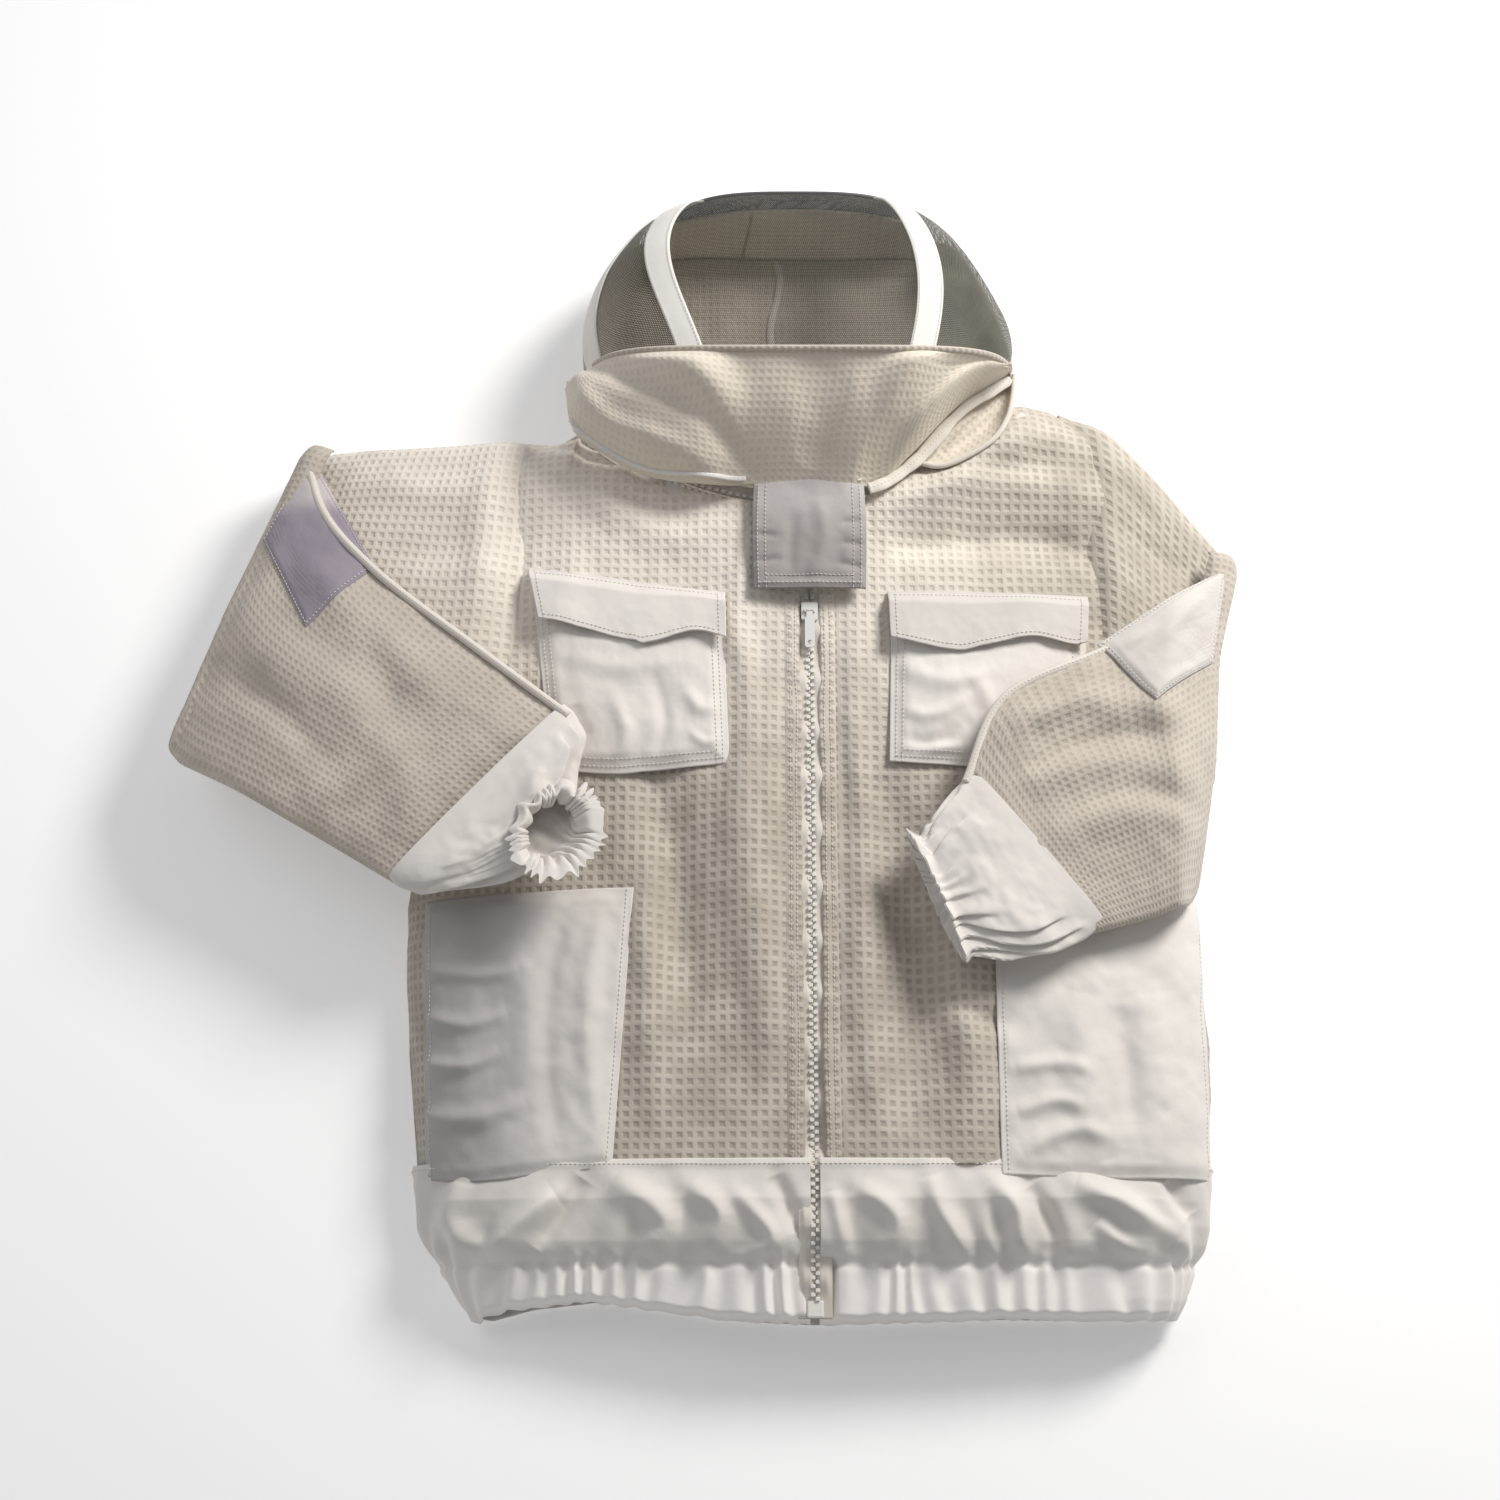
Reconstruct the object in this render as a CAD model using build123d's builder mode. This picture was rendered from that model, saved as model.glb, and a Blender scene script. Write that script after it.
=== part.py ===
"""Ventilated beekeeping jacket with a fencing-veil hood, lying on its back on a table.

Row frame, millimetres: +Z up from the table, +Y from the hem towards the hood, +X towards the
wearer's left side. The origin is on the underside of the back panel, below the front zip.
Left and right are the wearer's. The torso is a hollow pillow of spacer mesh, open at the hem, the
neck and both armholes. Each sleeve is folded once, so its forearm lies on the chest and opens
about the fold like a page. The hood is a hollow dome that leaves the neck zip along +Y.
"""

from build123d import *
import math
import os

os.makedirs("parts", exist_ok=True)

# Cloth
CLOTH = 3.5  # three-layer spacer mesh
COTTON = 1.8  # poly-cotton patches, flaps and tape

# Torso
BODY_THICK = 70.0
HEM_Y = -440.0
HEM_BAND_TOP_Y = -330.0
HEM_HALF_WIDTH = 262.0
SIDE_HALF_WIDTH = 312.0
ARMPIT_HALF_WIDTH = 288.0
SHOULDER_HALF_WIDTH = 262.0
SHOULDER_Y = 276.0
TOP_ROUND = 48.0  # how far the front rolls over into the sides
FOOT_ROUND = 11.0  # the same at the table
SIDE_SEAM_Z = 14.0
OUTLINE_ROUND = 60.0

# Zips
ZIP_OPENING = 12.0  # half the gap between the front panels
TAPE_BOTTOM_Z = BODY_THICK - CLOTH
TAPE_THICK = 1.5
TAPE_TOP_Z = TAPE_BOTTOM_Z + TAPE_THICK
TEETH_TOP_Z = TAPE_TOP_Z + 3.5
TEETH_INNER = 1.2  # from the zip's centre line to the tips of its teeth
TEETH_OUTER = 4.0
TOOTH_PITCH = 6.0
FRONT_ZIP_TOP_Y = 121.0
FRONT_SLIDER_Y = 110.0

# Neck zip: an arc in the plane of the front, about a vertical axis behind the neck
NECK_AXIS_Y = 470.0
NECK_RADIUS = 265.0
NECK_TAPE = 12.0
NECK_HALF_ANGLE = 45.0
NECK_SLIDER_ANGLE = 1.9
UNDER_SLIDERS_Z = 61.0
NAPE_HALF_ANGLE = 32.0

# Neck tab
TAB_HALF_WIDTH = 45.0
TAB_TOP_Y = 218.0
TAB_BOTTOM_Y = 124.0
TAB_Z = 84.0

# Pockets
POCKET_RISE = 8.0
CHEST_POCKET_HALF_WIDTH = 78.0
CHEST_POCKET_X = 146.0
CHEST_POCKET_TOP_Y = 122.0
CHEST_POCKET_BOTTOM_Y = -22.0
FLAP_TOP_Y = 146.0
FLAP_BOTTOM_Y = 88.0
FLAP_REST_Z = BODY_THICK + POCKET_RISE + 1.9

# Sleeves
CHEST_CLEARANCE_Z = 82.2  # underside of a forearm where it lies over the chest
FOREARM_THICK = 22.0
FOLD_Z = 45.0

# Hood: (y, half width, height, shift in x) of its cross sections
HOOD_SECTIONS = [
    (190.0, 168.0, 158.0, 0.0),
    (262.0, 168.0, 160.0, 0.0),
    (296.0, 176.0, 164.0, 0.0),
    (345.0, 184.0, 166.0, -4.0),
    (400.0, 172.0, 158.0, -8.0),
    (448.0, 140.0, 138.0, -12.0),
    (476.0, 108.0, 112.0, -14.0),
]
HOOD_BASE_RADIUS = NECK_RADIUS - NECK_TAPE
BRIM_Y = 296.0
BIB_HEM = 8.0
VEIL_BASE_Z = 70.0
BINDING_Z = 58.0
CASING_X = (-105.0, 101.0)
CASING_HALF_WIDTH = 13.0
STAY_HALF_WIDTH = 2.5
STAY_THICK = 1.6


def slab(x, y, z, mode=Mode.ADD):
    """A box between two x, two y and two z values, inside the open builder."""
    with Locations((x[0], y[0], z[0])):
        Box(x[1] - x[0], y[1] - y[0], z[1] - z[0], align=(Align.MIN,) * 3, mode=mode)


FAR = 700.0
EVERY = (-FAR, FAR)


def save(name, part):
    """Label a finished piece and write its STEP."""
    part.label = name
    export_step(part, f"parts/{name}.step")


# ---------------------------------------------------------------- torso


def torso_block(grow):
    """The torso's pillow, grown outwards by grow, and unbroken at the hem and the neck."""
    with BuildPart() as block:
        with BuildSketch(Plane.XY.offset(-grow)):
            with BuildLine():
                half = [
                    (HEM_HALF_WIDTH - 28.0, HEM_Y - 80.0),
                    (SIDE_HALF_WIDTH, -305.0),
                    (SIDE_HALF_WIDTH, -150.0),
                    (ARMPIT_HALF_WIDTH, 30.0),
                    (SHOULDER_HALF_WIDTH, SHOULDER_Y),
                    (150.0, SHOULDER_Y + 26.0),
                ]
                Polyline(*half, *[(-x, y) for x, y in reversed(half)], close=True)
            outline = make_face()
            fillet(outline.vertices(), OUTLINE_ROUND)
            if grow:
                offset(amount=grow)
        extrude(amount=BODY_THICK + 2 * grow)
        faces = block.faces().filter_by(GeomType.PLANE).sort_by(Axis.Z)
        top, bottom = faces[-1].edges(), faces[0].edges()
        fillet(top, TOP_ROUND + grow)
        fillet(bottom, FOOT_ROUND + grow)
    return block.part


def neck_cylinder(radius, mode, low=-20.0, high=240.0):
    """The disc about the neck axis, between two heights, inside the open builder."""
    with Locations((0, NECK_AXIS_Y, low)):
        Cylinder(radius, high - low, align=(Align.CENTER, Align.CENTER, Align.MIN), mode=mode)


torso_outer = torso_block(0)
torso_inner = torso_block(-CLOTH)

# ---------------------------------------------------------------- sleeves


class Sleeve:
    """One folded sleeve: its fold line, its outlines in plan, and where the cuff begins."""

    def __init__(self, side, fold, forearm, mouth, cuff_line, ramp, upper, gusset):
        self.side = side
        self.fold = [Vector(*p) for p in fold]
        self.forearm = forearm
        self.mouth = mouth
        self.cuff_line = cuff_line
        self.ramp = ramp
        self.upper = upper
        self.gusset = gusset

    def fold_plane(self):
        """Its x is the distance in from the fold, and its y is the height."""
        along = (self.fold[1] - self.fold[0]).normalized()
        inward = Vector(-along.Y, along.X, 0)
        if inward.X * self.fold[0].X > 0:
            inward = inward * -1
        middle = (self.fold[0] + self.fold[1]) * 0.5
        return Plane(origin=middle, x_dir=inward, z_dir=(inward.Y, -inward.X, 0))


def prism(points, mode, rounding=0.0, grow=0.0, low=-20.0, high=220.0):
    """An upright prism over an outline in plan, inside the open builder."""
    with BuildSketch(Plane.XY.offset(low)) as plan:
        with BuildLine():
            Polyline(*points, close=True)
        outline = make_face()
        if rounding:
            fillet(outline.vertices(), rounding)
        if grow:
            offset(amount=grow, kind=Kind.INTERSECTION)
    extrude(plan.sketch, amount=high - low, mode=mode)


def folded_bar(plane, points, mode=Mode.ADD):
    """A bar along the fold, with a cross section given as (distance from the fold, height)."""
    with BuildSketch(plane) as section:
        with BuildLine():
            Polyline(*points, close=True)
        make_face()
    extrude(section.sketch, amount=400, both=True, mode=mode)


def forearm_profile(ramp, inset):
    """The forearm's cross section: up from the fold over ramp millimetres, then level on the chest."""
    low, high = CHEST_CLEARANCE_Z + inset, CHEST_CLEARANCE_Z + FOREARM_THICK - inset
    start = 0.4 if inset == 0 else -30.0
    return [
        (start, FOLD_Z + 0.5 + inset),
        (ramp, low),
        (420.0, low),
        (420.0, high),
        (ramp * 0.93, high),
        (start, FOLD_Z + 0.5 + FOREARM_THICK - inset),
    ]


def forearm_tube(sleeve, body_clear):
    """The whole folded-over tube, open at the fold and at the cuff."""
    plane = sleeve.fold_plane()
    with BuildPart() as tube:
        folded_bar(plane, forearm_profile(sleeve.ramp, 0.0))
        prism(sleeve.forearm, Mode.INTERSECT, rounding=9.0)
        with BuildPart(mode=Mode.PRIVATE) as hollow:
            folded_bar(plane, forearm_profile(sleeve.ramp, CLOTH))
            prism(sleeve.mouth, Mode.INTERSECT)
        add(hollow.part, mode=Mode.SUBTRACT)
        add(body_clear, mode=Mode.SUBTRACT)
    return tube.part


def upper_profile(ramp, inset):
    """The upper sleeve's cross section, under the forearm and down to the table."""
    start = 0.4 if inset == 0 else -30.0
    return [
        (start, inset),
        (260.0, inset),
        (260.0, BODY_THICK - 2.0 - inset),
        (ramp, BODY_THICK - 2.0 - inset),
        (start, FOLD_Z - 0.5 - inset),
    ]


def upper_block(sleeve, inset):
    """The upper sleeve as a block: its outside, or its hollow where inset is the cloth."""
    with BuildPart() as block:
        folded_bar(sleeve.fold_plane(), upper_profile(sleeve.ramp, inset))
        prism(sleeve.upper, Mode.INTERSECT, grow=-inset)
    return block.part


def beyond(line, mode):
    """The far side of a line in plan, where the cuff is, inside the open builder."""
    a, b = Vector(*line[0]), Vector(*line[1])
    along = (b - a).normalized()
    out = Vector(along.Y, -along.X, 0)
    if out.Y > 0:
        out = out * -1
    a, b = a - along * FAR, b + along * FAR
    prism([(p.X, p.Y) for p in (a, b, b + out * FAR, a + out * FAR)], mode)


RIGHT_SLEEVE = Sleeve(
    "right",
    fold=[(-418, 268), (-511, 5)],
    forearm=[
        (-424, 268),
        (-392, 190),
        (-340, 132),
        (-186, 14),
        (-158, -14),
        (-224, -142),
        (-315, -124),
        (-520, -6),
    ],
    mouth=[
        (-470, 300),
        (-389, 182),
        (-338, 127),
        (-184, 8),
        (-140, -20),
        (-200, -160),
        (-235, -137),
        (-315, -119),
        (-560, 30),
    ],
    cuff_line=[(-186, 6), (-316, -121)],
    ramp=150.0,
    upper=[(-418, 270), (-230, 270), (-230, -60), (-300, -60), (-514, 5)],
    gusset=[(-428, 205), (-388, 186), (-341, 130), (-398, 84)],
)
LEFT_SLEEVE = Sleeve(
    "left",
    fold=[(358, 165), (314, -130)],
    forearm=[
        (364, 165),
        (234, 92),
        (230, 68),
        (146, 30),
        (110, -29),
        (72, -79),
        (98, -190),
        (205, -175),
        (322, -134),
    ],
    mouth=[
        (390, 145),
        (238, 89),
        (234, 64),
        (149, 26),
        (113, -32),
        (60, -90),
        (80, -200),
        (104, -185),
        (205, -170),
        (350, -110),
    ],
    cuff_line=[(110, -60), (202, -160)],
    ramp=64.0,
    upper=[(359, 166), (258, 282), (225, 282), (225, -45), (326, -45)],
    gusset=[(238, 84), (345, 149), (320, 72), (264, 24)],
)
SLEEVES = [RIGHT_SLEEVE, LEFT_SLEEVE]

# ---------------------------------------------------------------- torso pieces

armholes = [upper_block(s, CLOTH) for s in SLEEVES]

with BuildPart() as torso_shell:
    add(torso_outer)
    add(torso_inner, mode=Mode.SUBTRACT)
    slab(EVERY, (HEM_Y, FAR), EVERY, mode=Mode.INTERSECT)
    neck_cylinder(NECK_RADIUS + NECK_TAPE, Mode.SUBTRACT, low=UNDER_SLIDERS_Z)
    neck_cylinder(NECK_RADIUS + TEETH_INNER, Mode.SUBTRACT)
    for hole in armholes:
        add(hole, mode=Mode.SUBTRACT)

FRONT_Z = (SIDE_SEAM_Z, FAR)
BACK_Z = (-FAR, SIDE_SEAM_Z)
RIGHT_X = (-FAR, -ZIP_OPENING)
LEFT_X = (ZIP_OPENING, FAR)
PANEL_Y = (HEM_BAND_TOP_Y, FAR)
BAND_Y = (HEM_Y, HEM_BAND_TOP_Y)


def torso_piece(name, x, y, z):
    """The part of the torso's cloth inside a box, as one named piece."""
    with BuildPart() as piece:
        add(torso_shell.part)
        slab(x, y, z, mode=Mode.INTERSECT)
    save(name, piece.part)


torso_piece("back_panel", EVERY, PANEL_Y, BACK_Z)
torso_piece("right_front_panel", RIGHT_X, PANEL_Y, FRONT_Z)
torso_piece("left_front_panel", LEFT_X, PANEL_Y, FRONT_Z)
torso_piece("back_hem_band", EVERY, BAND_Y, BACK_Z)
torso_piece("right_hem_band", RIGHT_X, BAND_Y, FRONT_Z)
torso_piece("left_hem_band", LEFT_X, BAND_Y, FRONT_Z)

ELASTIC_THICK = 1.4
ELASTIC_Y = (HEM_Y + 6.0, HEM_Y + 36.0)
with BuildPart() as hem_elastic:
    add(torso_inner)
    add(torso_block(-CLOTH - ELASTIC_THICK), mode=Mode.SUBTRACT)
    slab(EVERY, ELASTIC_Y, EVERY, mode=Mode.INTERSECT)
    slab((-ZIP_OPENING - 4, ZIP_OPENING + 4), EVERY, (40, FAR), mode=Mode.SUBTRACT)
save("hem_elastic", hem_elastic.part)

# ---------------------------------------------------------------- lower pockets

LOWER_POCKET = [
    (-314.0, -342.0),
    (-150.0, -338.0),
    (-138.0, -128.0),
    (-314.0, -132.0),
]
LOWER_POCKET_MOUTH = [
    (-309.0, -337.0),
    (-155.0, -333.0),
    (-141.0, -90.0),
    (-309.0, -90.0),
]
POCKET_GAP = 5.4
pocket_skin = torso_block(POCKET_GAP + COTTON)
pocket_hollow = torso_block(POCKET_GAP)
for side, sign in (("right", 1), ("left", -1)):
    with BuildPart() as lower_pocket:
        add(pocket_skin)
        prism([(sign * x, y) for x, y in LOWER_POCKET], Mode.INTERSECT)
        slab(EVERY, EVERY, (SIDE_SEAM_Z + 8, FAR), mode=Mode.INTERSECT)
        with BuildPart(mode=Mode.PRIVATE) as inside:
            add(pocket_hollow)
            prism([(sign * x, y) for x, y in LOWER_POCKET_MOUTH], Mode.INTERSECT)
            slab(EVERY, EVERY, (SIDE_SEAM_Z + 11, FAR), mode=Mode.INTERSECT)
        add(inside.part, mode=Mode.SUBTRACT)
        add(torso_outer, mode=Mode.SUBTRACT)
    save(f"{side}_lower_pocket", lower_pocket.part)

# ---------------------------------------------------------------- chest pockets and flaps

POCKET_WALL = 3.0
FASTENER_THICK = 0.8
FASTENER_HALF_LENGTH = 30.0
for side, sign in (("right", -1), ("left", 1)):
    middle = sign * CHEST_POCKET_X
    wide = (middle - CHEST_POCKET_HALF_WIDTH, middle + CHEST_POCKET_HALF_WIDTH)
    tall = (CHEST_POCKET_BOTTOM_Y, CHEST_POCKET_TOP_Y)
    pocket_top = BODY_THICK + POCKET_RISE
    with BuildPart() as chest_pocket:
        slab(wide, tall, (BODY_THICK, pocket_top))
        fillet(chest_pocket.edges().filter_by(Axis.Z).group_by(Axis.Y)[0], 9)
        fillet(chest_pocket.faces().sort_by(Axis.Z)[-1].edges().group_by(Axis.Y)[0], 2)
        slab(
            (wide[0] + POCKET_WALL, wide[1] - POCKET_WALL),
            (tall[0] + POCKET_WALL, tall[1] + 10),
            (BODY_THICK - 10, pocket_top - COTTON),
            mode=Mode.SUBTRACT,
        )
    save(f"{side}_chest_pocket", chest_pocket.part)

    strip_x = (middle - FASTENER_HALF_LENGTH, middle + FASTENER_HALF_LENGTH)
    strip_y = (FLAP_BOTTOM_Y + 5, FLAP_BOTTOM_Y + 25)
    with BuildPart() as fastener:
        slab(strip_x, strip_y, (pocket_top, pocket_top + FASTENER_THICK))
    save(f"{side}_pocket_hook_strip", fastener.part)
    with BuildPart() as loop_strip:
        slab(strip_x, strip_y, (FLAP_REST_Z - FASTENER_THICK, FLAP_REST_Z))
    save(f"{side}_flap_loop_strip", loop_strip.part)

    with BuildPart() as flap:
        with BuildSketch(Plane.YZ.offset(wide[0])):
            with BuildLine():
                Polyline(
                    (FLAP_TOP_Y, BODY_THICK + 0.4),
                    (FLAP_TOP_Y, BODY_THICK + 0.4 + COTTON),
                    (FLAP_TOP_Y - 14, FLAP_REST_Z + COTTON),
                    (FLAP_BOTTOM_Y, FLAP_REST_Z + COTTON),
                    (FLAP_BOTTOM_Y, FLAP_REST_Z),
                    (FLAP_TOP_Y - 13, FLAP_REST_Z),
                    close=True,
                )
            make_face()
        extrude(amount=wide[1] - wide[0])
        fillet(flap.edges().filter_by(Axis.Z).group_by(Axis.Y)[0], 8)
    save(f"{side}_pocket_flap", flap.part)

# ---------------------------------------------------------------- front zip

TAPE_Z = (TAPE_BOTTOM_Z, TAPE_TOP_Z)
TEETH_Z = (TAPE_TOP_Z, TEETH_TOP_Z)
TEETH_BOTTOM_Y = HEM_Y + 14.0
for side, sign in (("right", -1), ("left", 1)):
    edge = sorted((sign * TEETH_INNER, sign * ZIP_OPENING))
    with BuildPart() as tape:
        slab(edge, (HEM_Y, NECK_AXIS_Y), TAPE_Z)
        neck_cylinder(NECK_RADIUS + NECK_TAPE, Mode.SUBTRACT)
    save(f"front_zip_tape_{side}", tape.part)

    teeth_count = int((FRONT_ZIP_TOP_Y - TEETH_BOTTOM_Y) / TOOTH_PITCH)
    tips = [(sign * TEETH_OUTER, TEETH_BOTTOM_Y)]
    for i in range(teeth_count):
        y = TEETH_BOTTOM_Y + i * TOOTH_PITCH
        root, tip = sign * (TEETH_OUTER - 0.8), sign * TEETH_INNER
        tips += [(root, y), (root, y + 3.2), (tip, y + 3.6), (tip, y + 5.6)]
    tips.append((sign * TEETH_OUTER, tips[-1][1]))
    with BuildPart() as teeth:
        with BuildSketch(Plane.XY.offset(TAPE_TOP_Z)):
            with BuildLine():
                Polyline(*tips, close=True)
            make_face()
        extrude(amount=TEETH_TOP_Z - TAPE_TOP_Z)
    save(f"front_zip_teeth_{side}", teeth.part)

with BuildPart() as top_stops:
    for sign in (-1, 1):
        stop_x = sorted((sign * TEETH_INNER, sign * TEETH_OUTER))
        slab(stop_x, (FRONT_ZIP_TOP_Y + 0.5, FRONT_ZIP_TOP_Y + 5.5), TEETH_Z)
save("front_zip_top_stops", top_stops.part)

with BuildPart() as bottom_box:
    slab((-6, 6), (HEM_Y + 1, HEM_Y + 13), (TAPE_TOP_Z, TEETH_TOP_Z + 0.6))
    fillet(bottom_box.edges().filter_by(Axis.Z), 2)
save("front_zip_bottom_box", bottom_box.part)

# ---------------------------------------------------------------- sliders and pulls

SLIDER_HALF_WIDTH = 6.6
SLIDER_CHANNEL = 4.5
SLIDER_PLATE = 2.4
PIN_Z = 5.4  # above the tape's top face, plus the plate
PIN_RADIUS = 0.8
EYE_BORE = 0.88
EYE_RADIUS = 1.7
EYE_HALF_WIDTH = 2.6
EAR_X = (2.9, 4.1)
POST_HALF_WIDTH = 0.8


def slider_plane(x, y, angle):
    """A slider's own frame, on the top of the tape: x across the zip, y along it."""
    turn = math.radians(angle)
    across = (math.cos(turn), math.sin(turn), 0)
    return Plane(origin=(x, y, TAPE_TOP_Z), x_dir=across, z_dir=(0, 0, 1))


def build_slider(name, plane, length):
    """A slider's body: top and bottom plates, side flanges, the post and the pull's pin."""
    top = TEETH_TOP_Z - TAPE_TOP_Z + 0.4
    under = TAPE_BOTTOM_Z - TAPE_TOP_Z - 0.4
    half = length / 2
    with BuildPart() as slider:
        slab((-SLIDER_HALF_WIDTH, SLIDER_HALF_WIDTH), (-half, half), (top, top + SLIDER_PLATE))
        slab(
            (-SLIDER_HALF_WIDTH, SLIDER_HALF_WIDTH),
            (-half, half),
            (under - SLIDER_PLATE, under),
        )
        slab((-POST_HALF_WIDTH, POST_HALF_WIDTH), (half - 5, half - 0.5), (under, top))
        for sign in (-1, 1):
            flange = sorted((sign * SLIDER_CHANNEL, sign * SLIDER_HALF_WIDTH))
            slab(flange, (-half, half), (0.4, top))
        fillet(slider.edges().filter_by(Axis.Z).group_by(Axis.Z)[-1], 1.5)
        for sign in (-1, 1):
            ear = sorted((sign * EAR_X[0], sign * EAR_X[1]))
            slab(ear, (-1.6, 1.6), (top + SLIDER_PLATE, top + PIN_Z - 0.2))
        with Locations(Location((0, 0, top + PIN_Z - 1.4), (0, 90, 0))):
            Cylinder(PIN_RADIUS, 2 * EAR_X[0] + 1)
    save(name, plane.location * slider.part)


def build_pull(name, plane, length, width):
    """A pull: an eye round the slider's pin and a flat tongue with a hole, along the frame's -y."""
    top = TEETH_TOP_Z - TAPE_TOP_Z + 0.4
    pin = top + PIN_Z - 1.4
    with BuildPart() as pull:
        with Locations(Location((0, 0, pin), (0, 90, 0))):
            Cylinder(EYE_RADIUS - 0.3, 2 * EYE_HALF_WIDTH)
        slab((-EYE_HALF_WIDTH, EYE_HALF_WIDTH), (-6, 0), (pin - 0.6, pin + 0.7))
        slab((-width / 2, width / 2), (-length, -6), (pin - 0.6, pin + 0.7))
        fillet(pull.edges().filter_by(Axis.Z).group_by(Axis.Y)[0], width * 0.3)
        with Locations(Location((0, 0, pin), (0, 90, 0))):
            Cylinder(EYE_BORE, 4 * EYE_HALF_WIDTH, mode=Mode.SUBTRACT)
        with Locations((0, -length + width * 0.55, pin)):
            Cylinder(width * 0.22, 6, mode=Mode.SUBTRACT)
    save(name, plane.location * pull.part)


front_plane = slider_plane(0, FRONT_SLIDER_Y, 0)
build_slider("front_zip_slider", front_plane, 15)
build_pull("front_zip_pull", front_plane, 32, 8)


def neck_point(angle, radius=NECK_RADIUS):
    """A point of the neck arc, at an angle from its middle and towards the wearer's left."""
    turn = math.radians(angle)
    return radius * math.sin(turn), NECK_AXIS_Y - radius * math.cos(turn)


for side, sign in (("right", -1), ("left", 1)):
    angle = sign * NECK_SLIDER_ANGLE
    plane = slider_plane(*neck_point(angle), angle + sign * 90)
    build_slider(f"neck_zip_slider_{side}", plane, 14)
    build_pull(f"neck_zip_pull_{side}", plane, 17, 5.5)

# ---------------------------------------------------------------- neck zip


def ring_piece(name, inner, outer, z, start):
    """Two mirrored stretches of a flat ring about the neck axis, from start to the zip's ends."""
    with BuildPart() as ring:
        with BuildSketch(Plane.XY.offset(z[0])):
            with Locations((0, NECK_AXIS_Y)):
                Circle(outer)
                Circle(inner, mode=Mode.SUBTRACT)
            for sign in (-1, 1):
                with BuildLine():
                    Polyline(
                        (0, NECK_AXIS_Y),
                        neck_point(sign * start, FAR),
                        neck_point(sign * NECK_HALF_ANGLE, FAR),
                        close=True,
                    )
                wedge = make_face(mode=Mode.PRIVATE)
                if sign < 0:
                    wedges = wedge
                else:
                    wedges = wedges + wedge
            add(wedges, mode=Mode.INTERSECT)
        extrude(amount=z[1] - z[0])
    save(name, ring.part)


def ring_teeth(name, inner, outer, start):
    """A row of separate moulded teeth: on the tape in front, and on the back cloth at the nape."""
    pitch = math.degrees(TOOTH_PITCH / NECK_RADIUS)
    stretches = ((start, NECK_HALF_ANGLE, TAPE_TOP_Z), (0, NAPE_HALF_ANGLE, CLOTH))
    with BuildPart() as teeth:
        for first, last, z in stretches:
            for i in range(int((last - first) / pitch)):
                for sign in (-1, 1):
                    angle = sign * (first + (i + 0.5) * pitch)
                    x, y = neck_point(angle, (inner + outer) / 2)
                    with Locations(Location((x, y, z), (0, 0, angle))):
                        Box(
                            3.4,
                            outer - inner,
                            TEETH_TOP_Z - TAPE_TOP_Z,
                            align=(Align.CENTER, Align.CENTER, Align.MIN),
                        )
    save(name, teeth.part)


UPPER_START = 4.4
ring_piece(
    "neck_zip_tape_lower", NECK_RADIUS + TEETH_INNER, NECK_RADIUS + NECK_TAPE, TAPE_Z, 0
)
ring_piece(
    "neck_zip_tape_upper",
    NECK_RADIUS - NECK_TAPE,
    NECK_RADIUS - TEETH_INNER,
    TAPE_Z,
    UPPER_START,
)
ring_teeth("neck_zip_teeth_lower", NECK_RADIUS + TEETH_INNER, NECK_RADIUS + TEETH_OUTER, 0)
ring_teeth(
    "neck_zip_teeth_upper",
    NECK_RADIUS - TEETH_OUTER,
    NECK_RADIUS - TEETH_INNER,
    UPPER_START,
)

# ---------------------------------------------------------------- neck tab

with BuildPart() as neck_tab:
    slab((-TAB_HALF_WIDTH, TAB_HALF_WIDTH), (TAB_BOTTOM_Y, TAB_TOP_Y), (TAB_Z, TAB_Z + 3))
    fillet(neck_tab.edges().filter_by(Axis.Z), 5)
save("neck_tab", neck_tab.part)
with BuildPart() as tab_loop:
    slab((-35, 35), (TAB_BOTTOM_Y + 6, TAB_BOTTOM_Y + 46), (TAB_Z - FASTENER_THICK, TAB_Z))
save("neck_tab_loop_patch", tab_loop.part)
with BuildPart() as tab_hook:
    for sign in (-1, 1):
        reach = sorted((sign * (ZIP_OPENING + 1), sign * 35))
        slab(reach, (TAB_BOTTOM_Y + 6, TAB_BOTTOM_Y + 46), (BODY_THICK, BODY_THICK + 0.8))
save("neck_hook_patches", tab_hook.part)

# ---------------------------------------------------------------- sleeve pieces

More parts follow.
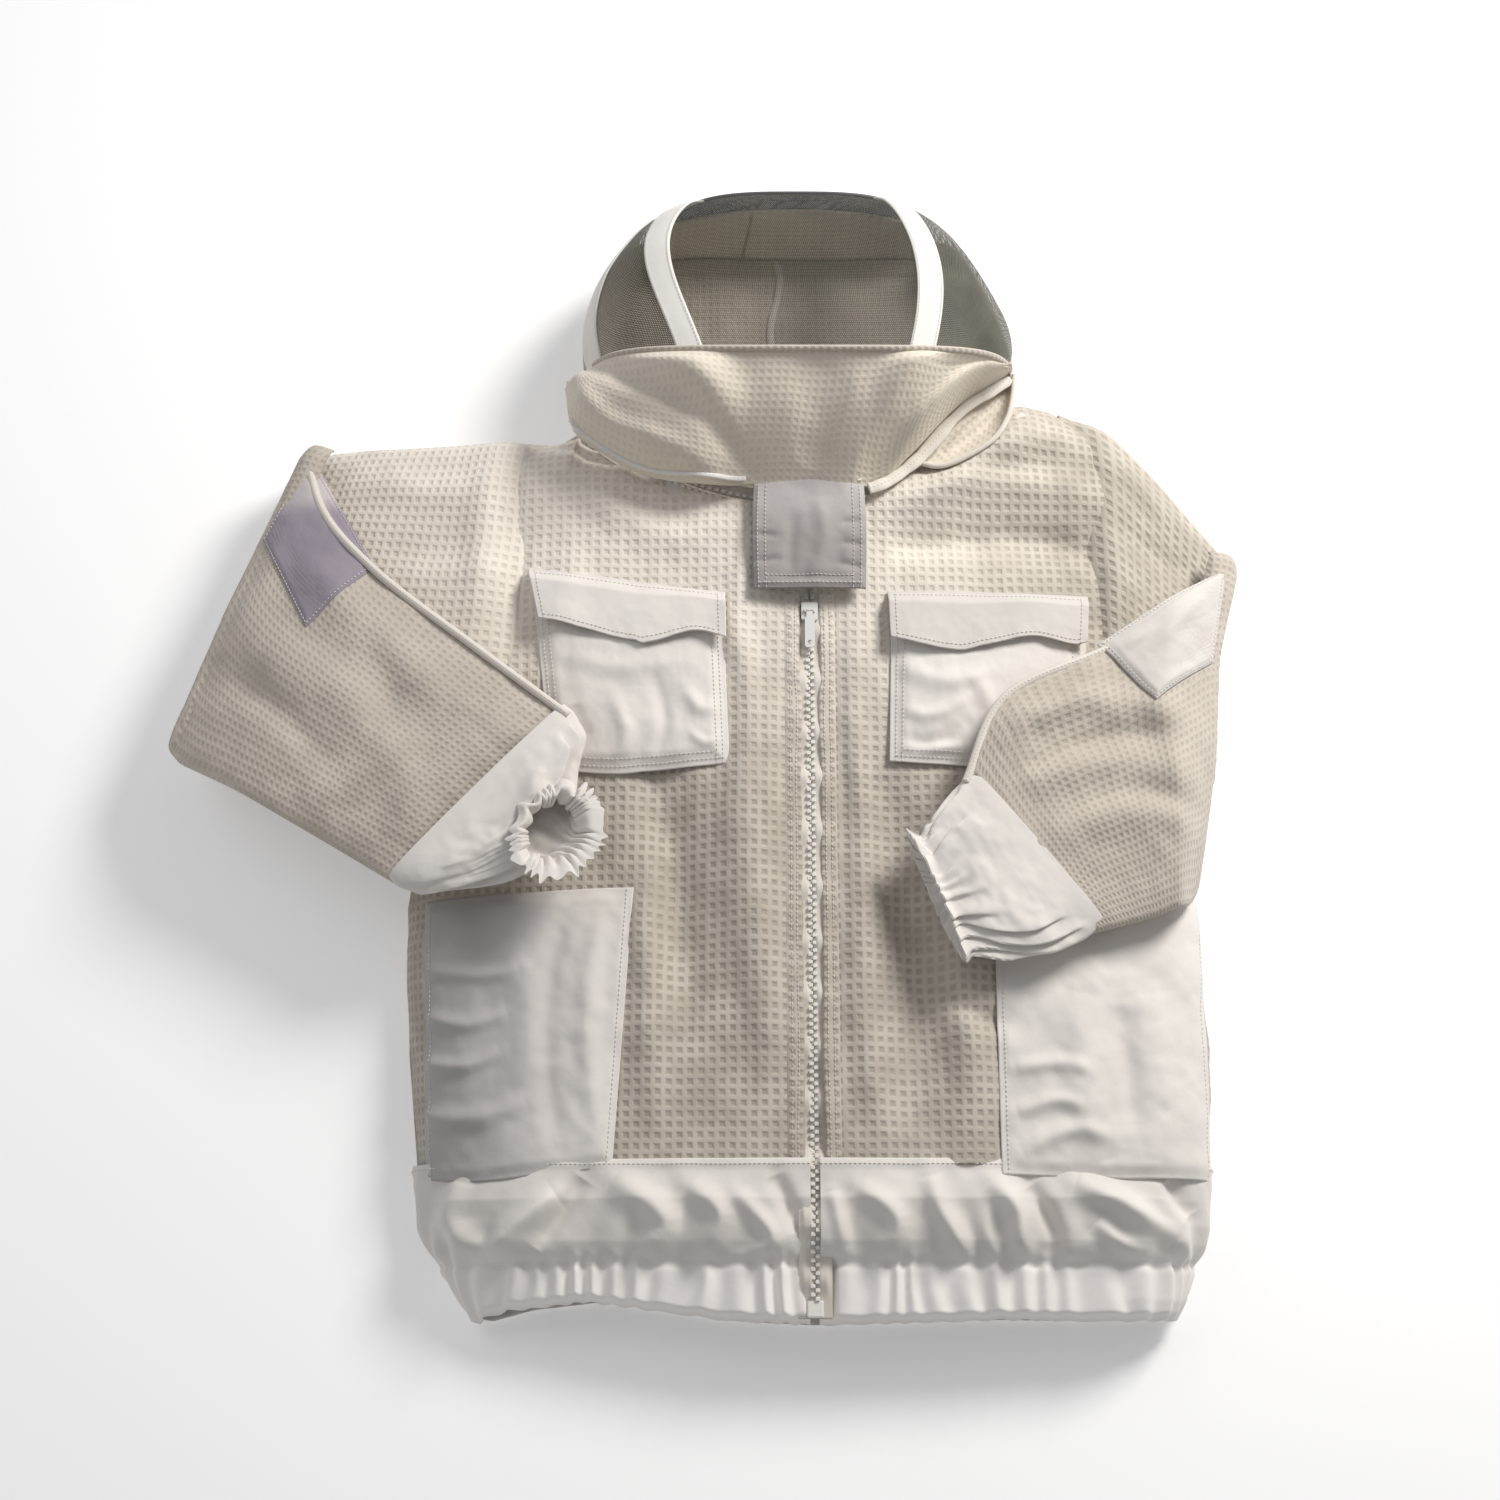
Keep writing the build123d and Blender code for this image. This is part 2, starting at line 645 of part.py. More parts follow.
with BuildPart() as body_clear:
    add(torso_block(POCKET_GAP + COTTON + 1.0))
    slab(EVERY, (-FAR, -110), EVERY, mode=Mode.INTERSECT)
    add(torso_block(1.0))
for sleeve in SLEEVES:
    side = sleeve.side
    with BuildPart() as upper_sleeve:
        add(upper_block(sleeve, 0.0))
        add(upper_block(sleeve, CLOTH), mode=Mode.SUBTRACT)
        add(torso_outer, mode=Mode.SUBTRACT)
    save(f"{side}_upper_sleeve", upper_sleeve.part)

    tube = forearm_tube(sleeve, body_clear.part)
    with BuildPart() as forearm:
        add(tube)
        beyond(sleeve.cuff_line, Mode.SUBTRACT)
    save(f"{side}_forearm", forearm.part)
    with BuildPart() as cuff:
        add(tube)
        beyond(sleeve.cuff_line, Mode.INTERSECT)
    save(f"{side}_cuff", cuff.part)

    a, b = [Vector(*p) for p in (sleeve.forearm[4:6] if side == "right" else sleeve.forearm[5:7])]
    along = (b - a).normalized()
    out = Vector(along.Y, -along.X, 0)
    if out.Y > 0:
        out = out * -1
    low, high = CHEST_CLEARANCE_Z + CLOTH, CHEST_CLEARANCE_Z + FOREARM_THICK - CLOTH
    with BuildPart() as cuff_elastic:
        for mode, end, reach, skin in (
            (Mode.ADD, 9, (10, 34), 0),
            (Mode.SUBTRACT, 9 + ELASTIC_THICK, (0, 50), ELASTIC_THICK),
        ):
            strip = [a + along * end - out * reach[0], b - along * end - out * reach[0]]
            strip += [b - along * end - out * reach[1], a + along * end - out * reach[1]]
            prism([(p.X, p.Y) for p in strip], mode, low=low + skin, high=high - skin)
    save(f"{side}_cuff_elastic", cuff_elastic.part)

    plane = sleeve.fold_plane()
    top = CHEST_CLEARANCE_Z + FOREARM_THICK
    start = FOLD_Z + 0.5 + FOREARM_THICK
    with BuildPart() as gusset:
        folded_bar(
            plane,
            [
                (0.4, start),
                (sleeve.ramp * 0.93, top),
                (420, top),
                (420, top + COTTON),
                (sleeve.ramp * 0.93, top + COTTON),
                (0.4, start + COTTON),
            ],
        )
        prism(sleeve.gusset, Mode.INTERSECT, rounding=4)
    save(f"{side}_underarm_gusset", gusset.part)

# ---------------------------------------------------------------- hood


def hood_section(y, half, height, shift, inset):
    """One upright cross section of the hood's dome: flat on the table and arched above."""
    half, height = half - inset, height - inset
    rise = height - inset
    with BuildSketch(Plane.XZ.offset(-y)) as section:
        with BuildLine():
            Spline(
                (shift - half, inset),
                (shift - 0.965 * half, inset + 0.40 * rise),
                (shift - 0.72 * half, inset + 0.82 * rise),
                (shift, height),
                (shift + 0.72 * half, inset + 0.82 * rise),
                (shift + 0.965 * half, inset + 0.40 * rise),
                (shift + half, inset),
            )
            Line((shift + half, inset), (shift - half, inset))
        make_face()
    return section.sketch


def hood_dome(inset):
    """The dome as a solid, its walls moved in by inset."""
    sections = list(HOOD_SECTIONS)
    last = sections[-1]
    sections[-1] = (last[0] - inset, *last[1:])
    with BuildPart() as dome:
        loft([hood_section(*s, inset) for s in sections])
    return dome.part


dome_inner = hood_dome(CLOTH)
with BuildPart() as hood_shell:
    add(hood_dome(0.0))
    add(dome_inner, mode=Mode.SUBTRACT)
    slab(EVERY, (150, FAR), EVERY, mode=Mode.INTERSECT)
    neck_cylinder(NECK_RADIUS - TEETH_INNER, Mode.INTERSECT)

VEIL_Y = (BRIM_Y + BIB_HEM, FAR)
VEIL_Z = (VEIL_BASE_Z, FAR)


def hood_piece(name, x, y, z):
    """The part of the hood's cloth inside a box, as one named piece."""
    with BuildPart() as piece:
        add(hood_shell.part)
        slab(x, y, z, mode=Mode.INTERSECT)
    save(name, piece.part)


casings = [(x - CASING_HALF_WIDTH, x + CASING_HALF_WIDTH) for x in CASING_X]
hood_piece("hood_back", EVERY, EVERY, (-FAR, BINDING_Z))
hood_piece("veil_binding", EVERY, (BRIM_Y, FAR), (BINDING_Z, VEIL_BASE_Z))
hood_piece("hood_brim_hem", EVERY, (BRIM_Y, BRIM_Y + BIB_HEM), VEIL_Z)
hood_piece("veil_right_mesh", (-FAR, casings[0][0]), VEIL_Y, VEIL_Z)
hood_piece("veil_front_mesh", (casings[0][1], casings[1][0]), VEIL_Y, VEIL_Z)
hood_piece("veil_left_mesh", (casings[1][1], FAR), VEIL_Y, VEIL_Z)
hood_piece("right_stay_casing", casings[0], VEIL_Y, VEIL_Z)
hood_piece("left_stay_casing", casings[1], VEIL_Y, VEIL_Z)

stay_inner = hood_dome(CLOTH + STAY_THICK)
for side, x in zip(("right", "left"), CASING_X):
    with BuildPart() as stay:
        add(dome_inner)
        add(stay_inner, mode=Mode.SUBTRACT)
        slab(
            (x - STAY_HALF_WIDTH, x + STAY_HALF_WIDTH),
            (BRIM_Y + 2, FAR),
            (VEIL_BASE_Z - 6, FAR),
            mode=Mode.INTERSECT,
        )
    save(f"{side}_veil_stay", stay.part)

BIB_HALF_ANGLE = 41.0
brim_section = hood_section(BRIM_Y + 4, HOOD_SECTIONS[2][1], HOOD_SECTIONS[2][2], 0, 0)
brim_arch = brim_section.edges().sort_by(SortBy.LENGTH)[-1].trim(0.17, 0.83)
with BuildPart() as hood_front:
    base = [
        neck_point(turn, HOOD_BASE_RADIUS) + (BODY_THICK,)
        for turn in (BIB_HALF_ANGLE, 0, -BIB_HALF_ANGLE)
    ]
    neck_edge = Edge.make_three_point_arc(*[Vector(*p) for p in base])
    rise = Face.make_surface_from_curves(neck_edge, brim_arch)
    thicken(rise, amount=CLOTH)
    slab(EVERY, (-FAR, BRIM_Y), EVERY, mode=Mode.INTERSECT)
    neck_cylinder(HOOD_BASE_RADIUS, Mode.INTERSECT)
save("hood_front", hood_front.part)

with BuildPart() as tab_seam:
    slab(
        (-TAB_HALF_WIDTH + 2, TAB_HALF_WIDTH - 2),
        (TAB_TOP_Y + 1.4, TAB_TOP_Y + 12.5),
        (TAB_Z, TAB_Z + 3),
    )
    add(hood_front.part, mode=Mode.SUBTRACT)
save("neck_tab_seam", tab_seam.part)
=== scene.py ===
"""Looks of the ventilated beekeeping jacket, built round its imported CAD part.

Places and sizes of pieces are in millimetres. Materials, lights and the camera are in metres. Left and
right are the wearer's, and sign is -1 on the right and 1 on the left."""

import bpy
import math
import numpy as np
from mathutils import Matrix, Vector


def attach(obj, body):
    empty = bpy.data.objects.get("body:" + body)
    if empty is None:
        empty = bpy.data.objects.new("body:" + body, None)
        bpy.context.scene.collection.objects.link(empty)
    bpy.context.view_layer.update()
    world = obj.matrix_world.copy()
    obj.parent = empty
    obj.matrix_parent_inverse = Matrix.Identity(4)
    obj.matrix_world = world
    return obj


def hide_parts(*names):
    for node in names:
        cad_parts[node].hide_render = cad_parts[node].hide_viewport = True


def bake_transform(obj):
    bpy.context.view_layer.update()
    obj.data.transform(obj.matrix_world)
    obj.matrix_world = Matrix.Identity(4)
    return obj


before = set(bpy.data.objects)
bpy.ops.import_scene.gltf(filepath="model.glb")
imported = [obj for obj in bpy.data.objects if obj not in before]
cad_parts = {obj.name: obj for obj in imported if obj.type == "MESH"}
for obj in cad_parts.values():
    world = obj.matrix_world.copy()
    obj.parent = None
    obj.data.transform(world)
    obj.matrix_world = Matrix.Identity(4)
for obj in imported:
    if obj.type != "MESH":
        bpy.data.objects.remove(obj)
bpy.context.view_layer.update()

MM = 0.001
PI = math.pi
SIDES = (("right", -1), ("left", 1))
LATTICE = 64

# ------------------------------------------------------------------ numbers and noise


def smooth(lo, hi, v):
    t = np.clip((np.asarray(v, float) - lo) / (hi - lo), 0, 1)
    return t * t * (3 - 2 * t)


def rounding(a, width):
    """A quarter circle's rise from 0 to 1 while a goes from 0 to width."""
    return np.sqrt(np.clip(1 - (1 - np.clip(a / width, 0, 1)) ** 2, 0, 1))


def oval(angle, power):
    """Cosine and sine of an angle, drawn out towards a box as power grows past 2."""
    c, s = np.cos(angle), np.sin(angle)
    return np.sign(c) * np.abs(c) ** (2 / power), np.sign(s) * np.abs(s) ** (2 / power)


def grid(rows, columns):
    """Steps from 0 to 1 across (a) and along (b) a sheet of this many rows and columns."""
    b, a = np.meshgrid(np.linspace(0, 1, rows), np.linspace(0, 1, columns), indexing="ij")
    return a, b


def points(*parts):
    return np.stack(np.broadcast_arrays(*parts), -1)


def noise(x, y, size, seed):
    """Smooth value noise in -1..1 over a plane, the same on every run."""
    lattice = np.random.default_rng(seed).uniform(-1, 1, (LATTICE, LATTICE))
    gx, gy = np.asarray(x, float) / size + 31.7, np.asarray(y, float) / size + 17.3
    ix, iy = np.floor(gx).astype(int), np.floor(gy).astype(int)
    fx, fy = gx - ix, gy - iy
    fx, fy = fx * fx * (3 - 2 * fx), fy * fy * (3 - 2 * fy)

    def row(j):
        return lattice[ix % LATTICE, j % LATTICE] * (1 - fx) + lattice[(ix + 1) % LATTICE, j % LATTICE] * fx

    return row(iy) * (1 - fy) + row(iy + 1) * fy


def fbm(x, y, size, seed):
    """Three octaves of noise."""
    return sum(noise(x, y, size / 2**i, seed + i) / 2**i for i in range(3)) / 1.6


def curve(path, n):
    """n points along a smooth line through the points of a path, spaced by its length."""
    p = np.array(path, float)
    if len(p) == 2:
        t = np.linspace(0, 1, n)[:, None]
        return p[0] * (1 - t) + p[1] * t
    p = np.vstack([2 * p[0] - p[1], p, 2 * p[-1] - p[-2]])
    seg = np.linalg.norm(np.diff(p[1:-1], axis=0), axis=1)
    at = np.concatenate([[0], np.cumsum(seg)]) / seg.sum()
    t = np.linspace(0, 1, n)
    k = np.clip(np.searchsorted(at, t, side="right") - 1, 0, len(seg) - 1)
    f = ((t - at[k]) / (at[k + 1] - at[k]))[:, None]
    a, b, c, d = p[k], p[k + 1], p[k + 2], p[k + 3]
    return 0.5 * (
        2 * b + (c - a) * f + (2 * a - 5 * b + 4 * c - d) * f**2 + (3 * b - a - 3 * c + d) * f**3
    )


def fold(x, y, path, width, height):
    """A soft ridge, or a valley where height is negative, along a line in plan."""
    line = curve(path, 14)
    best = np.full(np.shape(x), 1e9)
    along = np.zeros(np.shape(x))
    for i, (start, d) in enumerate(zip(line, np.diff(line, axis=0))):
        f = np.clip(((x - start[0]) * d[0] + (y - start[1]) * d[1]) / (d @ d), 0, 1)
        r = np.hypot(x - start[0] - f * d[0], y - start[1] - f * d[1])
        near = r < best
        best = np.where(near, r, best)
        along = np.where(near, (i + f) / (len(line) - 1), along)
    ends = np.sin(PI * np.clip(along, 0.02, 0.98)) ** 0.5
    return height * ends * np.exp(-((best / width) ** 2))


def folds(x, y, rows):
    return sum((fold(x, y, *row) for row in rows), np.zeros(np.shape(x)))


def gathers(u, pitch, seed, sharp=1.0):
    """Irregular pleats along u, from 0 in a valley to 1 on a ridge."""
    warped = u + 0.84 * pitch * noise(u, 0 * u, pitch * 1.9, seed)
    wave = 0.5 + 0.5 * np.sin(2 * PI * warped / pitch)
    strength = 0.62 + 0.38 * noise(u, 0 * u + 9, pitch * 1.3, seed + 5)
    return wave**sharp * strength


# ------------------------------------------------------------------ materials

SLOTS = {}  # the slot that cloth of a material fills, by the material's name


class Nodes:
    """The shader of one new material, and short ways to add nodes to it."""

    def __init__(self, name):
        self.material = bpy.data.materials.new(name)
        self.material.use_nodes = True
        self.tree = self.material.node_tree
        self.tree.nodes.clear()
        self.out = self.add("OutputMaterial")
        self.bsdf = self.add("BsdfPrincipled")
        self.link(self.bsdf.outputs[0], self.out.inputs[0])

    def add(self, kind):
        return self.tree.nodes.new("ShaderNode" + kind)

    def link(self, source, target):
        """Joins an output to an input, or sets the input to a number or an (r, g, b) colour."""
        if hasattr(source, "is_output"):
            self.tree.links.new(source, target)
        else:
            target.default_value = (*source, 1) if isinstance(source, tuple) else source

    def math(self, op, a, b=0.0, c=0.0):
        n = self.add("Math")
        n.operation = op
        for i, v in enumerate((a, b, c)):
            self.link(v, n.inputs[i])
        return n.outputs[0]

    def ramp(self, value, lo, hi, a=0.0, b=1.0):
        n = self.add("MapRange")
        n.interpolation_type = "SMOOTHSTEP"
        for i, v in enumerate((value, lo, hi, a, b)):
            self.link(v, n.inputs[i])
        return n.outputs[0]

    def mix(self, factor, a, b):
        n = self.add("Mix")
        n.data_type = "RGBA"
        for i, v in ((0, factor), (6, a), (7, b)):
            self.link(v, n.inputs[i])
        return n.outputs[2]

    def noise(self, vector, scale, detail):
        n = self.add("TexNoise")
        for socket, v in (("Vector", vector), ("Scale", scale), ("Detail", detail)):
            self.link(v, n.inputs[socket])
        return n.outputs[0]

    def split(self, vector):
        n = self.add("SeparateXYZ")
        self.link(vector, n.inputs[0])
        return n.outputs

    def uv(self):
        n = self.add("UVMap")
        n.uv_map = "cloth"
        u, v, _ = self.split(n.outputs[0])
        return n.outputs[0], u, v

    def place(self):
        return self.add("TexCoord").outputs["Object"]

    def weave(self, u, v, rate):
        """Threads that cross each other, over and under, rate radians of them to the metre."""
        waves = [self.math("SINE", self.math("MULTIPLY", t, rate)) for t in (u, v)]
        return self.math("MULTIPLY", *waves)

    def cells(self, u, v, pitch):
        """How far out from the middle of its square cell a point is, from 0 to 1, in u and in v."""
        out = []
        for t in (u, v):
            cell = self.math("FRACT", self.math("DIVIDE", t, pitch))
            out.append(self.math("MULTIPLY", self.math("ABSOLUTE", self.math("SUBTRACT", cell, 0.5)), 2.0))
        return out

    def bump(self, height, distance, strength):
        n = self.add("Bump")
        for socket, v in (("Distance", distance), ("Strength", strength), ("Height", height)):
            self.link(v, n.inputs[socket])
        self.link(n.outputs[0], self.bsdf.inputs["Normal"])

    def finish(self, values, slot=None):
        for socket, v in values.items():
            self.link(v, self.bsdf.inputs[socket])
        SLOTS[self.material.name] = slot
        return self.material


def shade(colour, k):
    return tuple(c * k for c in colour)


def spacer_mesh(name, rib, gap, pitch=0.0080, rows=0.35, relief=0.8, lit_tones=None):
    """Three-layer spacer mesh: raised ribs round small square wells, over a fine knit.

    The last argument is a second (rib, gap) pair, painted light: lighter tones over the upper front, full
    across the right side and the middle, fading out by the left shoulder."""
    n = Nodes(name)
    uv, u, v = n.uv()
    stray = 0.0022
    lines = [n.math("MULTIPLY_ADD", n.noise(uv, scale, 1.0), stray, t) for scale, t in ((45.0, u), (37.0, v))]
    ribs = n.ramp(n.math("SMOOTH_MAX", *n.cells(*lines, pitch), 0.25), 0.22, 0.80)
    broad = n.ramp(n.noise(n.place(), 9.0, 3.0), 0.3, 0.7)
    fade = n.ramp(n.noise(uv, 30.0, 2.0), 0.32, 0.68, rows, 1.0)
    tones = [rib, gap]
    if lit_tones:
        # painted light: the upper front takes the lighter pair of tones, fading out towards the left shoulder
        x, y, _ = n.split(n.place())
        painted_light_mask = n.math("MULTIPLY", n.ramp(y, -0.06, 0.15), n.ramp(x, 0.05, 0.24, 1.0, 0.0))
        tones = [n.mix(painted_light_mask, old, new) for old, new in zip(tones, lit_tones)]
    tone = n.mix(n.math("MULTIPLY", ribs, fade), tones[1], tones[0])
    tone = n.mix(n.math("MULTIPLY", broad, 0.22), tone, shade(rib, 0.74))
    fluff = n.math("MULTIPLY", n.noise(uv, 900.0, 2.0), 0.35)
    n.bump(n.math("MULTIPLY_ADD", n.weave(u, v, 5200.0), 0.10, n.math("ADD", ribs, fluff)), 0.0011, relief)
    finish = {"Roughness": 0.95, "Specular IOR Level": 0.15, "Sheen Weight": 0.25, "Sheen Roughness": 0.6}
    return n.finish({"Base Color": tone, **finish}, "mesh_cloth")


def woven(name, colour, dark, bump=0.35, tone_ramp=None):
    """Plain woven poly-cotton with a fine weave and soft creasing.

    The last argument is (axis, place where it starts, place where it is full, colour), for a part in another
    tone; some materials below use it for painted shade, and the hem for painted light."""
    n = Nodes(name)
    uv, u, v = n.uv()
    creases = n.math("MULTIPLY", n.noise(uv, 70.0, 4.0), 1.6)
    patchy = n.ramp(n.noise(n.place(), 14.0, 3.0), 0.35, 0.72)
    tone = n.mix(n.math("MULTIPLY", patchy, 0.5), colour, dark)
    if tone_ramp:
        axis, start, full, ramp_tone = tone_ramp
        down = n.math("MULTIPLY", n.split(n.place())[axis], -1.0)
        tone = n.mix(n.ramp(down, -start, -full), tone, ramp_tone)
    n.bump(n.math("MULTIPLY_ADD", n.weave(u, v, 7800.0), 0.05, creases), 0.0010, bump)
    finish = {"Roughness": 0.86, "Specular IOR Level": 0.2, "Sheen Weight": 0.15}
    return n.finish({"Base Color": tone, **finish}, "cotton")


def plain(name, colour, rough, metal=0.0):
    n = Nodes(name)
    grain = n.math("MULTIPLY", n.noise(n.place(), 600.0, 2.0), 0.25)
    tone = n.mix(grain, colour, shade(colour, 0.7))
    return n.finish({"Base Color": tone, "Roughness": rough, "Metallic": metal})


def net(name, colour, pitch, open_share):
    """Knitted veil net: dark threads, and clear holes between them."""
    n = Nodes(name)
    _, u, v = n.uv()
    shift = n.math("MULTIPLY", n.math("FLOOR", n.math("DIVIDE", v, pitch)), pitch * 0.5)
    edge = n.math("MAXIMUM", *n.cells(n.math("ADD", u, shift), v, pitch))
    thread = n.ramp(edge, open_share - 0.12, open_share + 0.12)
    clear = n.add("BsdfTransparent")
    mixer = n.add("MixShader")
    for i, source in enumerate((thread, clear.outputs[0], n.bsdf.outputs[0])):
        n.link(source, mixer.inputs[i])
    n.link(mixer.outputs[0], n.out.inputs[0])
    patchy = n.ramp(n.noise(n.place(), 25.0, 3.0), 0.35, 0.7)
    n.material.surface_render_method = "DITHERED"
    return n.finish({"Base Color": n.mix(patchy, colour, shade(colour, 1.9)), "Roughness": 0.6}, "veil_mesh")


X, Y = 0, 1
COTTON = ((0.79, 0.75, 0.705), (0.66, 0.62, 0.585))

CREAM = spacer_mesh("spacer_mesh_sleeve", (0.615, 0.552, 0.472), (0.51, 0.452, 0.383), 0.0060, relief=0.55)
# the body's mesh, with a lighter pair of tones painted over its upper front as painted light
CREAM_BODY = spacer_mesh(
    "spacer_mesh_body", (0.63, 0.575, 0.495), (0.43, 0.38, 0.315),
    lit_tones=((0.93, 0.86, 0.765), (0.805, 0.735, 0.64)),
)
CREAM_BIB = spacer_mesh("spacer_mesh_bib", (0.80, 0.725, 0.615), (0.725, 0.655, 0.55), 0.0064, 0.4, 0.36)
CREAM_BACK = spacer_mesh("spacer_mesh_back", (0.63, 0.565, 0.48), (0.55, 0.49, 0.41), 0.0062, 0.3, 0.4)
# painted light: a lighter copy of the hood's mesh, for the wall at the crown, which faces away from the key
# light
CREAM_WALL = spacer_mesh("spacer_mesh_wall", (0.94, 0.87, 0.76), (0.86, 0.78, 0.67), rows=0.3)
PIPING = woven("cotton_piping", (0.74, 0.69, 0.62), (0.62, 0.57, 0.51), 0.2)
WHITE = woven("polycotton", *COTTON)
# painted shade: the right lower pocket is painted darker and greyer towards its outer side
WHITE_SHADE = woven("polycotton_side", *COTTON, tone_ramp=(X, -0.150, -0.270, (0.465, 0.44, 0.435)))
# painted light: the casing at the hem's edge is painted brighter
WHITE_HEM = woven("polycotton_hem", *COTTON, tone_ramp=(Y, -0.388, -0.408, (0.95, 0.905, 0.87)))
# painted shade: a darker copy of the white polycotton, for the left flap and the left gusset
WHITE_FLAP = woven("polycotton_flap", (0.66, 0.625, 0.585), (0.56, 0.525, 0.495))
TAB_WHITE = woven(
    "polycotton_tab", (0.50, 0.475, 0.465), (0.42, 0.395, 0.385), 0.5, (Y, 0.212, 0.165, (0.345, 0.32, 0.31))
)
# painted shade: a darker copy of the white polycotton, with a lilac painted shade over the gusset's lower
# part
GUSSET_WHITE = woven(
    "polycotton_gusset", (0.60, 0.55, 0.55), (0.52, 0.48, 0.48), 0.4, (Y, 0.212, 0.188, (0.335, 0.295, 0.345))
)
BINDING = woven("binding_tape", (0.80, 0.775, 0.735), (0.68, 0.65, 0.61), 0.2)
THREAD = plain("thread", (0.82, 0.79, 0.74), 0.8)
TEETH = plain("zip_teeth", (0.86, 0.83, 0.78), 0.4)
METAL = plain("slider_metal", (0.80, 0.79, 0.77), 0.42, metal=0.35)
NET = net("veil_net", (0.030, 0.032, 0.024), 0.0017, 0.82)
NET_DENSE = net("veil_net_double", (0.050, 0.048, 0.034), 0.0016, 0.55)
NET_CROWN = net("veil_net_crown", (0.085, 0.080, 0.058), 0.0016, 0.22)
STAY = plain("stay_strip", (0.10, 0.10, 0.10), 0.5)

# ------------------------------------------------------------------ meshes


def add_mesh(name, verts, faces, uvs, mat, body, replaces=(), rounded=True):
    me = bpy.data.meshes.new(name)
    me.from_pydata((np.asarray(verts) * MM).tolist(), [], faces)
    layer = me.uv_layers.new(name="cloth")
    uvs = (np.asarray(uvs, float) * MM).astype(np.float32)
    index = np.empty(len(me.loops), dtype=np.int32)
    me.loops.foreach_get("vertex_index", index)
    layer.data.foreach_set("uv", uvs[index].ravel())
    me.materials.append(mat)
    if rounded:
        me.polygons.foreach_set("use_smooth", np.ones(len(me.polygons), dtype=bool))
    me.update()
    obj = bpy.data.objects.new(name, me)
    bpy.context.scene.collection.objects.link(obj)
    if replaces:
        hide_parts(*replaces)
    if body:
        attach(obj, body)
    return obj


def bevel(obj, width):
    mod = obj.modifiers.new("edges", "BEVEL")
    mod.width = width * MM
    mod.segments = 2
    return mod


def grid_faces(nr, nc, closed=False):
    i = np.arange(nr - 1)[:, None]
    j = np.arange(nc if closed else nc - 1)[None, :]
    k = (j + 1) % nc
    quads = np.stack(np.broadcast_arrays(i * nc + j, i * nc + k, (i + 1) * nc + k, (i + 1) * nc + j), -1)
    return quads.reshape(-1, 4)


def normals(P, closed=False):
    """Unit normals of a grid of points."""
    du = np.gradient(P, axis=0)
    if closed:
        dv = (np.roll(P, -1, axis=1) - np.roll(P, 1, axis=1)) / 2
    else:
        dv = np.gradient(P, axis=1)
    n = np.cross(dv, du)
    return n / np.maximum(np.linalg.norm(n, axis=-1, keepdims=True), 1e-9)


STAYS = ["right_veil_stay", "left_veil_stay"]

# how each sheet is held, and what it rests on; the others are laid on the back panel
HELD = {
    "back": ("laid", []),
    "back_hem": ("gathered", []),
    "tab": ("laid", ["neck_hook_patches"]),
    "veil_crown": ("stretched", STAYS),
    "veil_front": ("stretched", STAYS),
    "right_binding": ("stretched", ["veil_right_mesh"]),
    "hood_back_cloth": ("laid", []),
    "hood_back_wall": ("stretched", ["hood_back"]),
    "bib": ("gathered", ["right_front_panel", "left_front_panel"]),
    "side_lobe": ("folded", ["left_front_panel"]),
}
for side, _ in SIDES:
    HELD[f"veil_{side}"] = HELD[f"{side}_casing"] = ("stretched", [f"{side}_veil_stay"])
    HELD[f"{side}_hem"] = ("gathered", ["back_hem_band"])
    HELD[f"{side}_pocket"] = ("laid", [f"{side}_front_panel"])
    HELD[f"{side}_lower"] = ("laid", [f"{side}_front_panel"])
    HELD[f"{side}_placket"] = ("laid", [f"{side}_front_panel"])
    HELD[f"{side}_flap_cloth"] = ("laid", [f"{side}_chest_pocket"])
    HELD[f"{side}_forearm_sleeve"] = ("folded", [f"{side}_upper_sleeve", f"{side}_front_panel"])
    HELD[f"{side}_sleeve_turn"] = ("folded", [f"{side}_upper_sleeve"])
    HELD[f"{side}_cuff_section"] = ("gathered", [f"{side}_front_panel"])
    HELD[f"{side}_gusset"] = ("laid", [f"{side}_forearm"])


def cloth(name, P, mat, body, uv=None, closed=False, thick=2.2, replaces=(), slot=None, hint=None):
    """A grid of points as a piece of cloth, its outside facing up or away from hint.

    A closed one is a tube, and faces away from its middle."""
    nr, nc = P.shape[:2]
    if uv is None:
        du = np.linalg.norm(np.diff(P, axis=1, prepend=P[:, :1]), axis=-1).cumsum(axis=1)
        dv = np.linalg.norm(np.diff(P, axis=0, prepend=P[:1]), axis=-1).cumsum(axis=0)
        mid = slice(nc // 2, nc // 2 + 1)
        uv = points(du - du[:, mid], dv[:, mid])
    if closed:
        hint = P.reshape(-1, 3).mean(0)
    n = normals(P, closed)
    away = n[..., 2] if hint is None else ((P - np.array(hint)) * n).sum(-1)
    faces = grid_faces(nr, nc, closed)
    if away.mean() < 0:
        faces = faces[:, ::-1]
    slot = slot or SLOTS[mat.name]
    obj = add_mesh(name, P.reshape(-1, 3), faces.tolist(), uv.reshape(-1, 2), mat, body, replaces)
    if thick:
        mod = obj.modifiers.new("thickness", "SOLIDIFY")
        mod.thickness = thick * MM
        mod.offset = -1
        mod.use_even_offset = False
    return obj


STITCH = 2.3
THREAD_RADIUS, THREAD_LIFT = 0.38, 0.25


